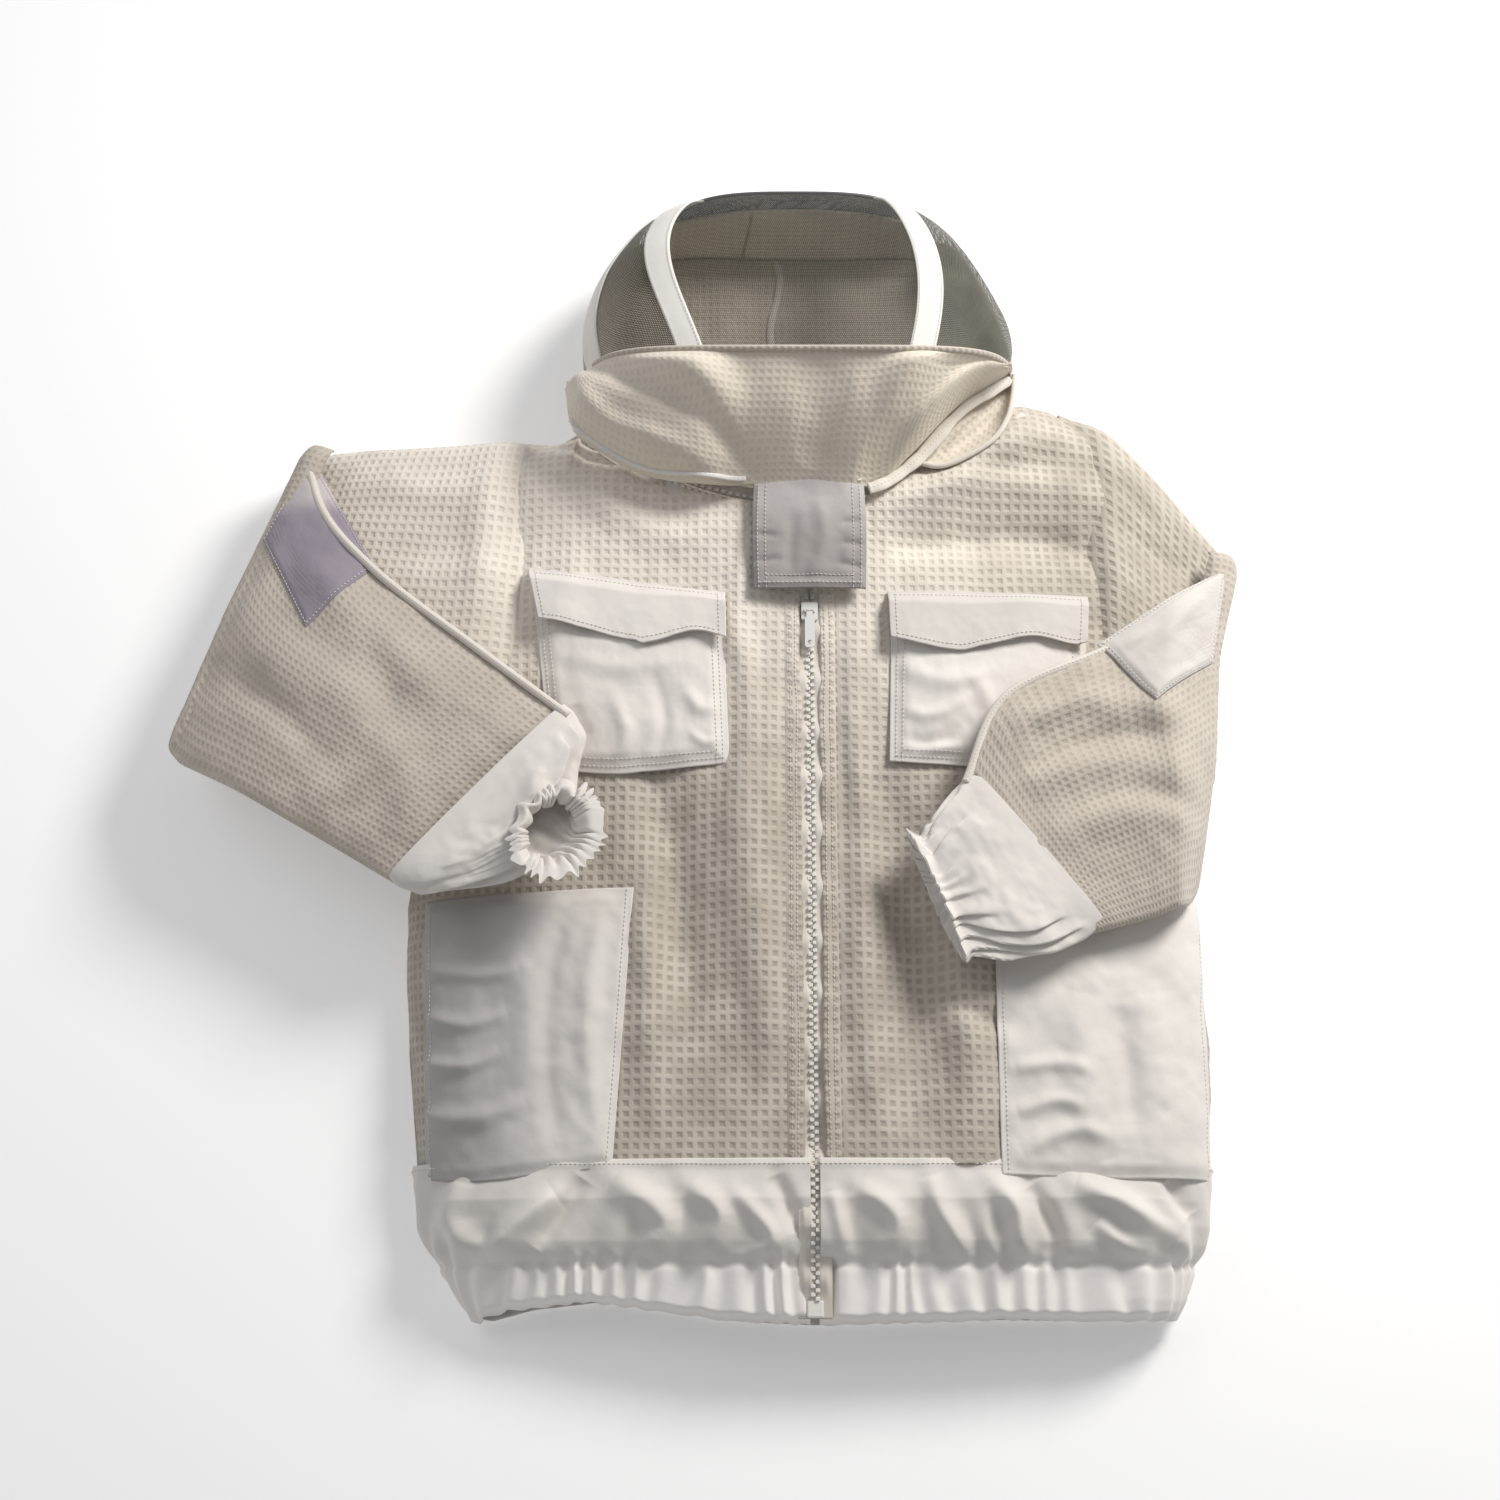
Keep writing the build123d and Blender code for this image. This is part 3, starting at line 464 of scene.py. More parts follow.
def stitches(name, lines, body, pitch=3.6):
    """Top stitching: short rounded threads along lines in space, in one piece."""
    verts, faces = [], []
    sides = 5
    for line in lines:
        p = np.asarray(line, float)
        at = np.concatenate([[0], np.linalg.norm(np.diff(p, axis=0), axis=1).cumsum()])
        for start in np.arange(0, max(at[-1] - STITCH, 0), pitch):
            ends = [np.array([np.interp(d, at, p[:, k]) for k in range(3)]) for d in (start, start + STITCH)]
            along = ends[1] - ends[0]
            along = along / np.linalg.norm(along)
            side = np.cross(along, (0, 0, 1.0))
            side = side / max(np.linalg.norm(side), 1e-6)
            up = np.cross(side, along)
            base = len(verts)
            for centre, r in ((ends[0], 0.45), ((ends[0] + ends[1]) / 2, 1.0), (ends[1], 0.45)):
                for k in range(sides):
                    angle = 2 * PI * k / sides
                    out = side * math.cos(angle) + up * (math.sin(angle) + THREAD_LIFT)
                    verts.append(centre + out * THREAD_RADIUS * r)
            for ring in range(2):
                for k in range(sides):
                    a, b = base + ring * sides + k, base + ring * sides + (k + 1) % sides
                    faces.append((a, b, b + sides, a + sides))
            faces.append(tuple(base + k for k in reversed(range(sides))))
            faces.append(tuple(base + 2 * sides + k for k in range(sides)))
    return add_mesh(name, np.array(verts), faces, np.zeros((len(verts), 2)), THREAD, body)


def tube(name, path, rx, rz, mat, body, sides=12, replaces=()):
    """A soft cord or roll along a path: rx wide and rz high, each a number or one per point."""
    p = np.asarray(path, float)
    rx, rz = np.broadcast_to(rx, len(p)), np.broadcast_to(rz, len(p))
    along = np.gradient(p, axis=0)
    along /= np.linalg.norm(along, axis=1, keepdims=True)
    side = np.cross(along, (0, 0, 1.0))
    side /= np.maximum(np.linalg.norm(side, axis=1, keepdims=True), 1e-6)
    up = np.cross(side, along)
    angle = np.linspace(0, 2 * PI, sides, endpoint=False)
    wide, high = np.cos(angle) * rx[:, None], np.sin(angle) * rz[:, None]
    P = p[:, None] + side[:, None] * wide[..., None] + up[:, None] * high[..., None]
    faces = grid_faces(len(p), sides, True)[:, ::-1].tolist()
    faces.append(tuple(range(sides)))
    faces.append(tuple((len(p) - 1) * sides + k for k in reversed(range(sides))))
    run = np.concatenate([[0], np.linalg.norm(np.diff(p, axis=0), axis=1).cumsum()])
    uv = points(run[:, None], (angle * rx.mean())[None])
    return add_mesh(name, P.reshape(-1, 3), faces, uv.reshape(-1, 2), mat, body, replaces)


# ------------------------------------------------------------------ the torso's form

SIDE_Y = [-455, -440, -425, -403, -372, -338, -239, -121, 0, 100, 200, 300]
RIGHT_W = [244, 254, 264, 280, 296, 303, 315, 321, 306, 285, 262, 250]
LEFT_W = [262, 268, 277, 284, 296, 302, 311, 305, 294, 278, 264, 255]
TOP_Y = [-452, -425, -403, -385, -355, -330, -250, -100, 50, 150, 230, 300]
TOP_Z = [55, 59, 62, 72, 80, 78, 75, 71, 70, 71, 72, 66]
RX_Y = [-450, -330, -120, 0, 80, 300]
RX = [64, 66, 62, 42, 28, 26]
SHOULDER_X = [0, 44, 60, 88, 126, 160, 182, 206, 252, 300]
SHOULDER_Y = [203, 209, 226, 262, 302, 317, 319, 312, 281, 262]
SEAM_Z = 13.0
NECK_Y = 470.0
NECK_RADIUS = 267.0
PANEL_END = -331.0
ZIP_GAP = 7.0

BODY_FOLDS = [
    ([(44, 200), (100, 217), (147, 244), (180, 259), (226, 268)], 16, 12.5),
    ([(146, 258), (170, 272), (190, 288), (208, 303)], 15, 9.0),
    ([(78, 236), (120, 258), (160, 292)], 10, -4.0),
    ([(-40, 190), (-60, 100), (-48, 20), (-70, -90)], 13, 5.0),
    ([(-24, 110), (-30, -20), (-26, -150), (-40, -300)], 8, 3.2),
    ([(-132, -120), (-126, -200), (-120, -318)], 13, 5),
    ([(-124, -10), (-112, -70), (-104, -140), (-92, -230)], 20, -12),
    ([(-42, -10), (-50, -80), (-42, -160), (-34, -250)], 22, 11),
    ([(-120, -60), (-128, -140), (-118, -190)], 12, 3.0),
    ([(38, 120), (30, 20), (44, -80), (36, -200), (52, -318)], 11, 4.6),
    ([(56, -20), (70, -110), (82, -210), (70, -316)], 24, -14),
    ([(112, -120), (112, -190), (120, -250), (116, -318)], 16, 8.0),
    ([(92, -190), (120, -214), (150, -226)], 10, -6.0),
    ([(20, 60), (24, -60), (18, -180), (26, -300)], 7, -3.0),
    ([(60, 166), (130, 179), (190, 178), (248, 158)], 14, -8.5),
    ([(92, 212), (146, 222), (200, 222), (250, 206)], 15, 6.5),
    ([(66, 168), (130, 170), (200, 158)], 12, -3.5),
    ([(58, 200), (120, 232), (190, 236)], 12, -5.0),
    ([(-60, 190), (-110, 176), (-150, 196), (-200, 236)], 15, 4.5),
    ([(-190, 170), (-200, 90), (-230, 40)], 13, 5.0),
    ([(-236, 230), (-244, 130), (-252, 60)], 12, -4.0),
    ([(240, 250), (262, 190), (250, 110)], 15, 5.0),
    ([(-150, -30), (-190, -60), (-230, -60)], 16, -4.0),
]


def body_folds(x, y):
    soft = 4.2 * fbm(x, y * 0.5, 66, 11) + 1.3 * fbm(x, y * 0.7, 21, 21)
    return (1.25 * folds(x, y, BODY_FOLDS) + soft) * (0.3 + 0.7 * smooth(10, 44, np.abs(x)))


def side_reach(sign, y):
    """Of the torso's front: flat half width, width of the side's turn, its height, the cloth round it."""
    w = np.interp(y, SIDE_Y, LEFT_W if sign > 0 else RIGHT_W)
    rx = np.interp(y, RX_Y, RX)
    h = np.interp(y, TOP_Y, TOP_Z) - SEAM_Z
    return w - rx, rx, h, PI / 2 * np.sqrt((rx**2 + h**2) / 2)


def torso(sign, u, y, lift=0.0, wrinkle=1.0):
    """Points on the torso's front, u millimetres of cloth out from the zip on one side."""
    u, y = np.broadcast_arrays(np.asarray(u, float), np.asarray(y, float))
    flat, rx, h, quarter = side_reach(sign, y)
    turn = np.clip((u - flat) / quarter, 0, 1.0) * PI / 2
    x = np.minimum(u, flat) + rx * np.sin(turn)
    fall = np.interp(y, [-90, 40], [26, 9]) if sign < 0 else 11
    z = SEAM_Z + (h - fall * (x / (flat + rx)) ** 2.2) * np.cos(turn)
    nx, nz = np.sin(turn) / rx, np.cos(turn) / h
    size = np.hypot(nx, nz)
    nx, nz = nx / size, nz / size
    d = lift + wrinkle * body_folds(sign * x, y)
    return np.stack([sign * (x + d * nx), y, z + d * nz], -1)


def out_to(sign, x, y):
    """The cloth length from the zip to a plan x on one side, as torso() wants it."""
    flat, rx, h, quarter = side_reach(sign, np.asarray(y, float))
    ratio = np.clip((x - flat) / rx, 0, 1)
    return np.where(x <= flat, x, flat + np.arcsin(ratio) * quarter / (PI / 2))


def full_reach(sign, y):
    flat, _, _, quarter = side_reach(sign, np.asarray(y, float))
    return flat + quarter


def neck_line(x):
    return NECK_Y - np.sqrt(np.maximum(NECK_RADIUS**2 - np.minimum(x, 196.0) ** 2, 0))


def shoulder_y(sign, x):
    """Where the front ends in +Y: the neckline, then the shoulder."""
    if sign > 0:
        return np.interp(x, SHOULDER_X, SHOULDER_Y)
    edge = np.interp(x, [180, 225, 262, 300], [290, 278, 270, 262])
    return np.minimum(neck_line(x) + np.where(x < 190, 0, 400), edge)


def front_panel(side, sign):
    a, b = grid(300, 230)
    top = shoulder_y(sign, ZIP_GAP + a * 285)
    y = PANEL_END + b * (top - PANEL_END)
    u = ZIP_GAP + a * (full_reach(sign, y) - ZIP_GAP)
    P = torso(sign, u, y)
    near = np.clip(1 - (top - y) / 52, 0, 1)
    drop = 1 - np.sqrt(np.clip(1 - near**2.2, 0, 1))
    neck = (40, 150) if sign > 0 else (150, 200)
    P[..., 2] = SEAM_Z + (P[..., 2] - SEAM_Z) * (1 - smooth(*neck, np.abs(P[..., 0])) * drop)
    P[..., 2] -= 2.5 * np.exp(-((P[..., 0] / 15.0) ** 2))
    nodes = [f"{side}_front_panel"]
    cloth(f"{side}_front", P, CREAM_BODY, "jacket", points(u * sign, y), thick=3.0, replaces=nodes)


def back_across(s, y, inset):
    """Plan x at s, from -1 at the right side to 1 at the left, and the cloth's turn up at the sides."""
    w = np.where(s < 0, np.interp(y, SIDE_Y, RIGHT_W), np.interp(y, SIDE_Y, LEFT_W)) - inset
    flat, radius = 0.93, 13
    turn = np.clip((np.abs(s) - flat) / (1 - flat), 0, 1) * PI / 2
    x = (w - radius) * np.minimum(np.abs(s) / flat, 1) + radius * np.sin(turn)
    return np.sign(s) * x, turn


for side, sign in SIDES:
    front_panel(side, sign)

a, b = grid(130, 190)
s = 2 * a - 1
out = np.abs(s) * 285
top = np.where(out < 190, neck_line(out) + 2, shoulder_y(1, out))
y = PANEL_END + b * (top - PANEL_END)
x, turn = back_across(s, y, 1.0)
z = 1.2 + 12.5 * (1 - np.cos(turn)) + 0.8 * (1 + noise(x, y, 50, 71)) * np.cos(turn)
cloth("back", points(x, y, z), CREAM_BODY, "jacket", thick=-2.5, replaces=["back_panel"])

# ------------------------------------------------------------------ hem

HEM_TOP = -326.0
HEM_GAP = 3.5
HEM_EDGES = {
    -1: ([0, 60, 159, 215, 251, 300], [-444, -441, -427, -433, -441, -436]),
    1: ([0, 136, 200, 272, 300], [-444, -440, -441, -439, -432]),
}
HEM_FOLDS = [
    ([(-150, -340), (-110, -372), (-128, -398)], 10, 7),
    ([(-95, -345), (-70, -368), (-82, -396)], 8, 6),
    ([(-60, -350), (-32, -384), (-58, -402)], 7, 5),
    ([(-30, -338), (-12, -380)], 7, -5),
    ([(-190, -352), (-222, -376), (-240, -400)], 9, 8),
    ([(-170, -340), (-205, -392)], 8, -6),
    ([(-262, -340), (-268, -372), (-240, -398)], 9, 6),
    ([(30, -345), (60, -372), (50, -402)], 8, 6),
    ([(84, -338), (92, -366), (112, -396)], 8, 6),
    ([(128, -342), (150, -370), (142, -400)], 9, 7),
    ([(158, -345), (176, -382), (170, -404)], 7, -6),
    ([(190, -344), (230, -362), (264, -386)], 9, 8),
    ([(205, -372), (236, -398)], 7, 5),
    ([(262, -340), (280, -366)], 8, -5),
    ([(12, -350), (22, -390)], 6, 4),
]


def hem_edge(sign, x):
    return np.interp(x, *HEM_EDGES[sign])


def hem_point(sign, a, b):
    """The hem band from its top (b 0) to its edge (b 1), a across from the zip to the side."""
    y = HEM_TOP + b * (hem_edge(sign, HEM_GAP + a * 265) - HEM_TOP)
    u = HEM_GAP + a * (full_reach(sign, y) - HEM_GAP)
    P = torso(sign, u, y, wrinkle=0.0)
    flat, _, _, quarter = side_reach(sign, y)
    turn = np.clip((u - flat) / quarter, 0, 1.0) * PI / 2
    nx, nz = np.sin(turn) * sign, np.cos(turn)
    casing = smooth(-388, -404, y)
    sway = 5 * noise(u, y, 40, 47)
    pleats = gathers(u + sway, 19.0, 34 + 3 * sign)
    loose = 1.5 * folds(P[..., 0], y, HEM_FOLDS) + 3.0 * fbm(u, y, 44, 51)
    loose += 9.0 * gathers(u + 0.25 * (y + 370) + sway, 38.0, 42 + sign) * smooth(-340, -396, y)
    d = 1.6 + casing * (6.5 * pleats - 1.4) + (1 - casing) * loose
    d += np.exp(-(((y + 330) / 3.0) ** 2)) - 2.2 * np.exp(-(((y + 400) / 3.6) ** 2))
    d -= 6.0 * casing * (1 - smooth(9, 18, u))  # room for the slider at the end of its travel
    P[..., 0] += d * nx
    P[..., 2] += d * nz - 9 * smooth(0.94, 1.0, b) * nz
    P[..., 1] += 1.6 * (pleats - 0.5) * casing
    return P, points(u * sign, y)


for side, sign in SIDES:
    P, uv = hem_point(sign, *grid(96, 420))
    nodes = [f"{side}_hem_band"] + (["hem_elastic"] if sign > 0 else [])
    cloth(f"{side}_hem", P, WHITE_HEM, "jacket", uv, thick=1.6, replaces=nodes)
    line = hem_point(sign, np.linspace(0, 1, 300), np.full(300, 0.035))[0]
    stitches(f"{side}_hem_stitching", [line + (0, 0, 0.5)], "jacket")

a, b = grid(60, 260)
s = 2 * a - 1
edge = np.where(s < 0, hem_edge(-1, np.abs(s) * 268), hem_edge(1, np.abs(s) * 268))
y = HEM_TOP - 2 + b * (edge - HEM_TOP + 4)
x, turn = back_across(s, y, 1.5)
gather = gathers(s * 260, 16.0, 61) * smooth(-380, -405, y)
z = 1.0 + 12.5 * (1 - np.cos(turn)) + 2.6 * gather * np.cos(turn)
cloth("back_hem", points(x, y, z), WHITE, "jacket", thick=-1.6, replaces=["back_hem_band"])

# ------------------------------------------------------------------ patches on the torso


def torso_patch(sign, shape, n, lift, wrinkle):
    """A patch laid on the front: left and right are its plan x, and bottom and top its y along them."""
    a, b = grid(*n)
    left, right = (np.interp(b, [0, 1], shape[k]) for k in ("left", "right"))
    bottom, top = (curve(list(enumerate(shape[k])), n[1])[:, 1] for k in ("bottom", "top"))
    x = left + a * (right - left)
    y = bottom + b * (top - bottom)
    u = out_to(sign, sign * x, y)
    return torso(sign, u, y, lift(a, b, x, y), wrinkle), points(u * sign, y)


def rim(a, b, soft=0.04):
    """1 inside a patch, falling to 0 at its sewn edges."""
    e = np.minimum(np.minimum(a, 1 - a), np.minimum(b, 1 - b))
    return smooth(0, soft, e)


def edge_lines(P, inset=4, sides="lrb"):
    """Lines of stitching just inside the edges of a grid."""
    lines = {"l": P[:, inset], "r": P[:, -1 - inset]}
    lines["b"], lines["t"] = P[inset, inset:-inset], P[-1 - inset, inset:-inset]
    return [lines[k] + (0, 0, 0.6) for k in "lrbt" if k in sides]


POCKETS = {
    "right": dict(left=(-205, -226), right=(-64, -70), bottom=(-22, -26, -24, -18), top=(144, 138, 130, 124)),
    "left": dict(left=(62, 66), right=(212, 226), bottom=(-16, -20, -24, -26), top=(124, 126, 125, 122)),
}
FLAPS = {
    "right": dict(
        left=(-218, -229), right=(-67, -68), bottom=(102, 94, 82, 80, 90, 84), top=(150, 144, 134, 126)
    ),
    "left": dict(left=(64, 63), right=(222, 226), bottom=(84, 74, 78, 86, 80, 82), top=(127, 128, 127, 125)),
}
POCKET_FOLDS = {
    "right": [
        ([(-196, 70), (-150, 60), (-100, 66)], 9, 3.4),
        ([(-160, 40), (-146, 10), (-150, -16)], 7, 4.0),
        ([(-122, 50), (-116, 14), (-122, -14)], 6, -3.0),
        ([(-100, 44), (-88, 26), (-74, 28)], 6, 3.0),
        ([(-96, 6), (-84, -2), (-72, 0)], 4, 2.4),
        ([(-188, 30), (-180, 0)], 8, -3.0),
    ],
    "left": [
        ([(74, 60), (110, 48), (150, 62)], 8, 3.4),
        ([(72, 26), (96, 20), (124, 34)], 6, 3.2),
        ([(72, 2), (98, -2), (120, 12)], 6, -2.8),
        ([(130, 58), (146, 20)], 8, 3.2),
        ([(84, -10), (120, -4)], 5, 2.6),
    ],
}
for side, sign in SIDES:
    rows = POCKET_FOLDS[side]
    seed = 82 + sign

    def puff(a, b, x, y):
        body = 5.0 + 4.2 * np.sin(PI * a) ** 0.7 * np.sin(PI * b) ** 0.6
        crease = folds(x, y, rows) + 3.0 * fbm(x, y, 42, seed) + 0.4 * fbm(x * 1.5, y, 14, seed + 4)
        return 1.2 + (body + crease) * (0.25 + 0.75 * rim(a, b, 0.10))

    def flap_lift(a, b, x, y):
        wave = 1.3 * np.sin(PI * 3.2 * a + 0.6) + 1.6 * fbm(x, y, 22, seed + 9)
        return 3.0 + 9.5 * smooth(1.0, 0.72, b) + wave * (1 - b) + 1.6 * (1 - b) ** 2

    P, uv = torso_patch(sign, POCKETS[side], (120, 120), puff, 0.35)
    cloth(f"{side}_pocket", P, WHITE, "jacket", uv, thick=1.2, replaces=[f"{side}_chest_pocket"])
    stitches(f"{side}_pocket_stitching", edge_lines(P) + edge_lines(P, 8), "jacket")
    P, uv = torso_patch(sign, FLAPS[side], (60, 140), flap_lift, 0.3)
    # the left flap in the darker copy of the polycotton, as painted shade
    mat = WHITE_FLAP if side == "left" else WHITE
    cloth(f"{side}_flap_cloth", P, mat, f"{side}_flap", uv, thick=1.5, replaces=[f"{side}_pocket_flap"])
    stitches(f"{side}_flap_stitching", edge_lines(P, 5, "lrbt"), f"{side}_flap")

LOWER = {
    "right": dict(
        left=(-292, -302), right=(-150, -138), bottom=(-338, -342, -338, -332), top=(-124, -120, -118, -118)
    ),
    "left": dict(
        left=(138, 140), right=(301, 306), bottom=(-338, -341, -341, -339), top=(-120, -118, -118, -120)
    ),
}
LOWER_FOLDS = {
    "right": [
        ([(-296, -180), (-250, -186), (-224, -180)], 6, 4),
        ([(-300, -214), (-262, -224), (-232, -214)], 6, 4.5),
        ([(-300, -250), (-262, -256), (-236, -244)], 6, 4.5),
        ([(-300, -290), (-255, -296), (-214, -284)], 8, 5),
        ([(-160, -130), (-172, -220), (-160, -320)], 9, 4),
        ([(-192, -130), (-204, -220), (-190, -318)], 9, -4),
        ([(-230, -140), (-216, -220), (-232, -300)], 16, 4),
    ],
    "left": [
        ([(150, -260), (182, -256), (206, -262)], 6, 4),
        ([(150, -292), (180, -284), (200, -290)], 6, 4.5),
        ([(152, -322), (190, -306), (220, -312)], 7, 5),
        ([(208, -200), (200, -270), (216, -330)], 16, 6),
        ([(250, -200), (262, -260), (250, -330)], 16, 4),
        ([(230, -210), (238, -300)], 9, -4),
    ],
}
for side, sign in SIDES:
    rows = LOWER_FOLDS[side]
    seed = 93 + 2 * sign

    def lower_lift(a, b, x, y):
        full = 5.5 * np.sin(PI * a) ** 0.5 + folds(x, y, rows) + 2.4 * fbm(x, y, 34, seed)
        return 1.5 + full * (0.3 + 0.7 * rim(a, b, 0.05))

    P, uv = torso_patch(sign, LOWER[side], (130, 130), lower_lift, 0.5)
    # the right lower pocket in the copy with painted shade towards its outer side
    mat = WHITE_SHADE if side == "right" else WHITE
    cloth(f"{side}_lower", P, mat, "jacket", uv, thick=1.4, replaces=[f"{side}_lower_pocket"])
    stitches(f"{side}_lower_stitching", edge_lines(P, 4, "lr"), "jacket")

# ------------------------------------------------------------------ sleeves


def coons(shape, nr, nc):
    """A patch in plan between four lines; rows run from left to right, columns from top to bottom."""
    t, bt = curve(shape["top"], nr), curve(shape["bottom"], nr)
    l, r = curve(shape["left"], nc), curve(shape["right"], nc)
    a = np.linspace(0, 1, nr)[:, None, None]
    c = np.linspace(0, 1, nc)[None, :, None]
    ruled = (1 - c) * t[:, None] + c * bt[:, None] + (1 - a) * l[None] + a * r[None]
    corner = (1 - a) * ((1 - c) * t[0] + c * bt[0]) + a * ((1 - c) * t[-1] + c * bt[-1])
    return ruled - corner


def pillow_tube(plan_grid, centre, half, power, folding, sides, pinched=0.0):
    """A flattened tube over a plan grid: rows along it, and its cross section a soft oval.

    centre and half give its height and half its thickness, and pinched the share by which it narrows
    at its start."""
    nr, nc = plan_grid.shape[:2]
    phi = np.linspace(0, 2 * PI, sides, endpoint=False)
    c, rise = oval(phi, power)
    across = 0.5 * (1 - c)
    index = across * (nc - 1)
    lo = np.clip(np.floor(index).astype(int), 0, nc - 2)
    f = (index - lo)[None, :, None]
    plan = plan_grid[:, lo] * (1 - f) + plan_grid[:, lo + 1] * f
    a = np.linspace(0, 1, nr)[:, None]
    middle = plan_grid[:, nc // 2][:, None]
    plan = middle + (plan - middle) * (1 - pinched * (1 - rounding(a, 0.14)))[..., None]
    z = centre(a, across[None]) + half(a) * rise[None]
    z = z + folding(plan[..., 0], plan[..., 1]) * np.sqrt(np.clip(rise, 0, 1))[None]
    width = np.linalg.norm(plan_grid[:, -1] - plan_grid[:, 0], axis=-1).mean()
    length = np.linalg.norm(np.diff(plan_grid[:, nc // 2], axis=0), axis=-1).sum()
    round_u = np.where(phi <= PI, across, 2 - across) * width
    return np.concatenate([plan, z[..., None]], -1), points(round_u[None], a * length)


RIGHT_ARM = dict(
    top=[(-418, 269), (-392, 196), (-345, 138), (-262, 72), (-186, 14)],
    bottom=[(-512, 4), (-505, -12), (-440, -50), (-375, -88), (-316, -123)],
    left=[(-418, 269), (-466, 136), (-512, 4)],
    right=[(-186, 14), (-262, -52), (-316, -123)],
)
LEFT_ARM = dict(
    top=[(354, 164), (300, 118), (236, 74), (150, 32), (116, -40)],
    bottom=[(300, -128), (262, -146), (212, -160)],
    left=[(354, 164), (330, 70), (322, -10), (300, -128)],
    right=[(116, -40), (160, -98), (212, -160)],
)
RIGHT_ARM_FOLDS = [
    ([(-460, 120), (-420, 60), (-360, 20), (-300, -60)], 20, 5),
    ([(-470, 60), (-420, 20), (-372, -30)], 13, -4),
    ([(-400, 150), (-350, 80), (-280, 20)], 17, 4.5),
    ([(-420, 200), (-440, 130), (-470, 60)], 14, 4),
    ([(-330, -90), (-290, -40), (-230, 20)], 12, 4),
    ([(-360, 100), (-330, 40), (-340, -20)], 14, -4),
    ([(-380, -60), (-330, -30), (-300, 0)], 11, 3),
]
LEFT_ARM_FOLDS = [
    ([(140, -20), (200, 20), (300, 10)], 12, 4),
    ([(150, -50), (220, -30), (305, -40)], 12, 4),
    ([(175, -90), (240, -70), (300, -80)], 12, 3.5),
    ([(160, -36), (230, -6), (300, -14)], 8, -3.5),
    ([(170, -70), (240, -50), (296, -60)], 8, -3),
    ([(230, 60), (200, 20), (150, 0)], 12, 4),
    ([(300, 60), (270, 20), (280, -40)], 13, 4),
]
FOREARMS = {"right": (RIGHT_ARM, RIGHT_ARM_FOLDS, 0.42, 8.5), "left": (LEFT_ARM, LEFT_ARM_FOLDS, 0.30, 6.0)}


def forearm(side, sign):
    """A folded forearm. Returns its points, and the line of its seam."""
    shape, rows, ramp, seam_lift = FOREARMS[side]
    plan_grid = coons(shape, 170, 90)
    seed = 106 + 5 * sign
    body = f"{side}_folded_sleeve"

    def level(a):
        return 58 + 36 * smooth(0, ramp, a)

    def centre(a, c):
        return level(a) + 1.5 * np.sin(PI * c)

    def half(a):
        return (13.0 - 1.5 * a) * rounding(a, 0.13) * (1 - 0.45 * smooth(0.95, 1.0, a)) + 0.3

    def folding(x, y):
        return 1.25 * folds(x, y, rows) + 3.0 * fbm(x, y, 52, seed) + 1.1 * fbm(x, y, 19, seed + 3)

    P, uv = pillow_tube(plan_grid, centre, half, 2.9, folding, 190, 0.12)
    cloth(f"{side}_forearm_sleeve", P, CREAM, body, uv, closed=True, thick=2.6, replaces=[f"{side}_forearm"])
    return P, np.column_stack([plan_grid[:, 2], level(np.linspace(0, 1, 170)) + seam_lift])[12:]


forearms = {side: forearm(side, sign) for side, sign in SIDES}
for side, (_, seam) in forearms.items():
    body = f"{side}_folded_sleeve"
    tube(f"{side}_arm_seam_2", seam, 3.4, 3.0, PIPING, body, 10)
    stitches(f"{side}_arm_seam_2_stitching", [seam + (0, 0, 3.0)], body, pitch=3.2)

UPPER = {
    "right": dict(
        top=[(-212, 276), (-300, 272), (-380, 271), (-416, 268)],
        bottom=[(-222, -60), (-330, -50), (-420, -20), (-508, 6)],
        left=[(-212, 276), (-216, 100), (-222, -60)],
        right=[(-416, 268), (-464, 136), (-508, 6)],
    ),
    "left": dict(
        top=[(214, 305), (258, 277), (306, 224), (352, 168)],
        bottom=[(222, -40), (262, -50), (290, -50), (318, -40)],
        left=[(214, 305), (220, 120), (222, -40)],
        right=[(352, 168), (330, 70), (318, -40)],
    ),
}
UPPER_FOLDS = {
    "right": [
        ([(-230, 240), (-300, 220), (-380, 236)], 16, 5),
        ([(-230, 200), (-290, 170), (-350, 160)], 14, -4),
        ([(-240, 150), (-300, 140), (-330, 150)], 14, 4),
        ([(-260, 262), (-270, 180), (-262, 100)], 14, 4),
    ],
    "left": [
        ([(240, 260), (290, 210), (330, 170)], 12, 4),
        ([(240, 200), (290, 160), (340, 150)], 11, -4),
        ([(236, 150), (270, 120), (300, 130)], 12, 4),
    ],
}
for side, shape in UPPER.items():
    rows = UPPER_FOLDS[side]

    def shoulder(a):
        return 8 * (1 - smooth(0.0, 0.24, a))

    def centre(a, c):
        return 37 - 11 * smooth(0.1, 1.0, a) - shoulder(a)

    def half(a):
        return (34 - 10 * smooth(0.1, 1.0, a) - shoulder(a)) * (0.12 + 0.88 * rounding(1 - a, 0.28))

    def folding(x, y):
        return folds(x, y, rows) + 2.5 * fbm(x, y, 50, 121)

    P, uv = pillow_tube(coons(shape, 120, 90), centre, half, 3.4, folding, 170)
    nodes = [f"{side}_upper_sleeve"]
    cloth(f"{side}_upper_arm_sleeve", P, CREAM_BODY, "jacket", uv, closed=True, thick=2.6, replaces=nodes)
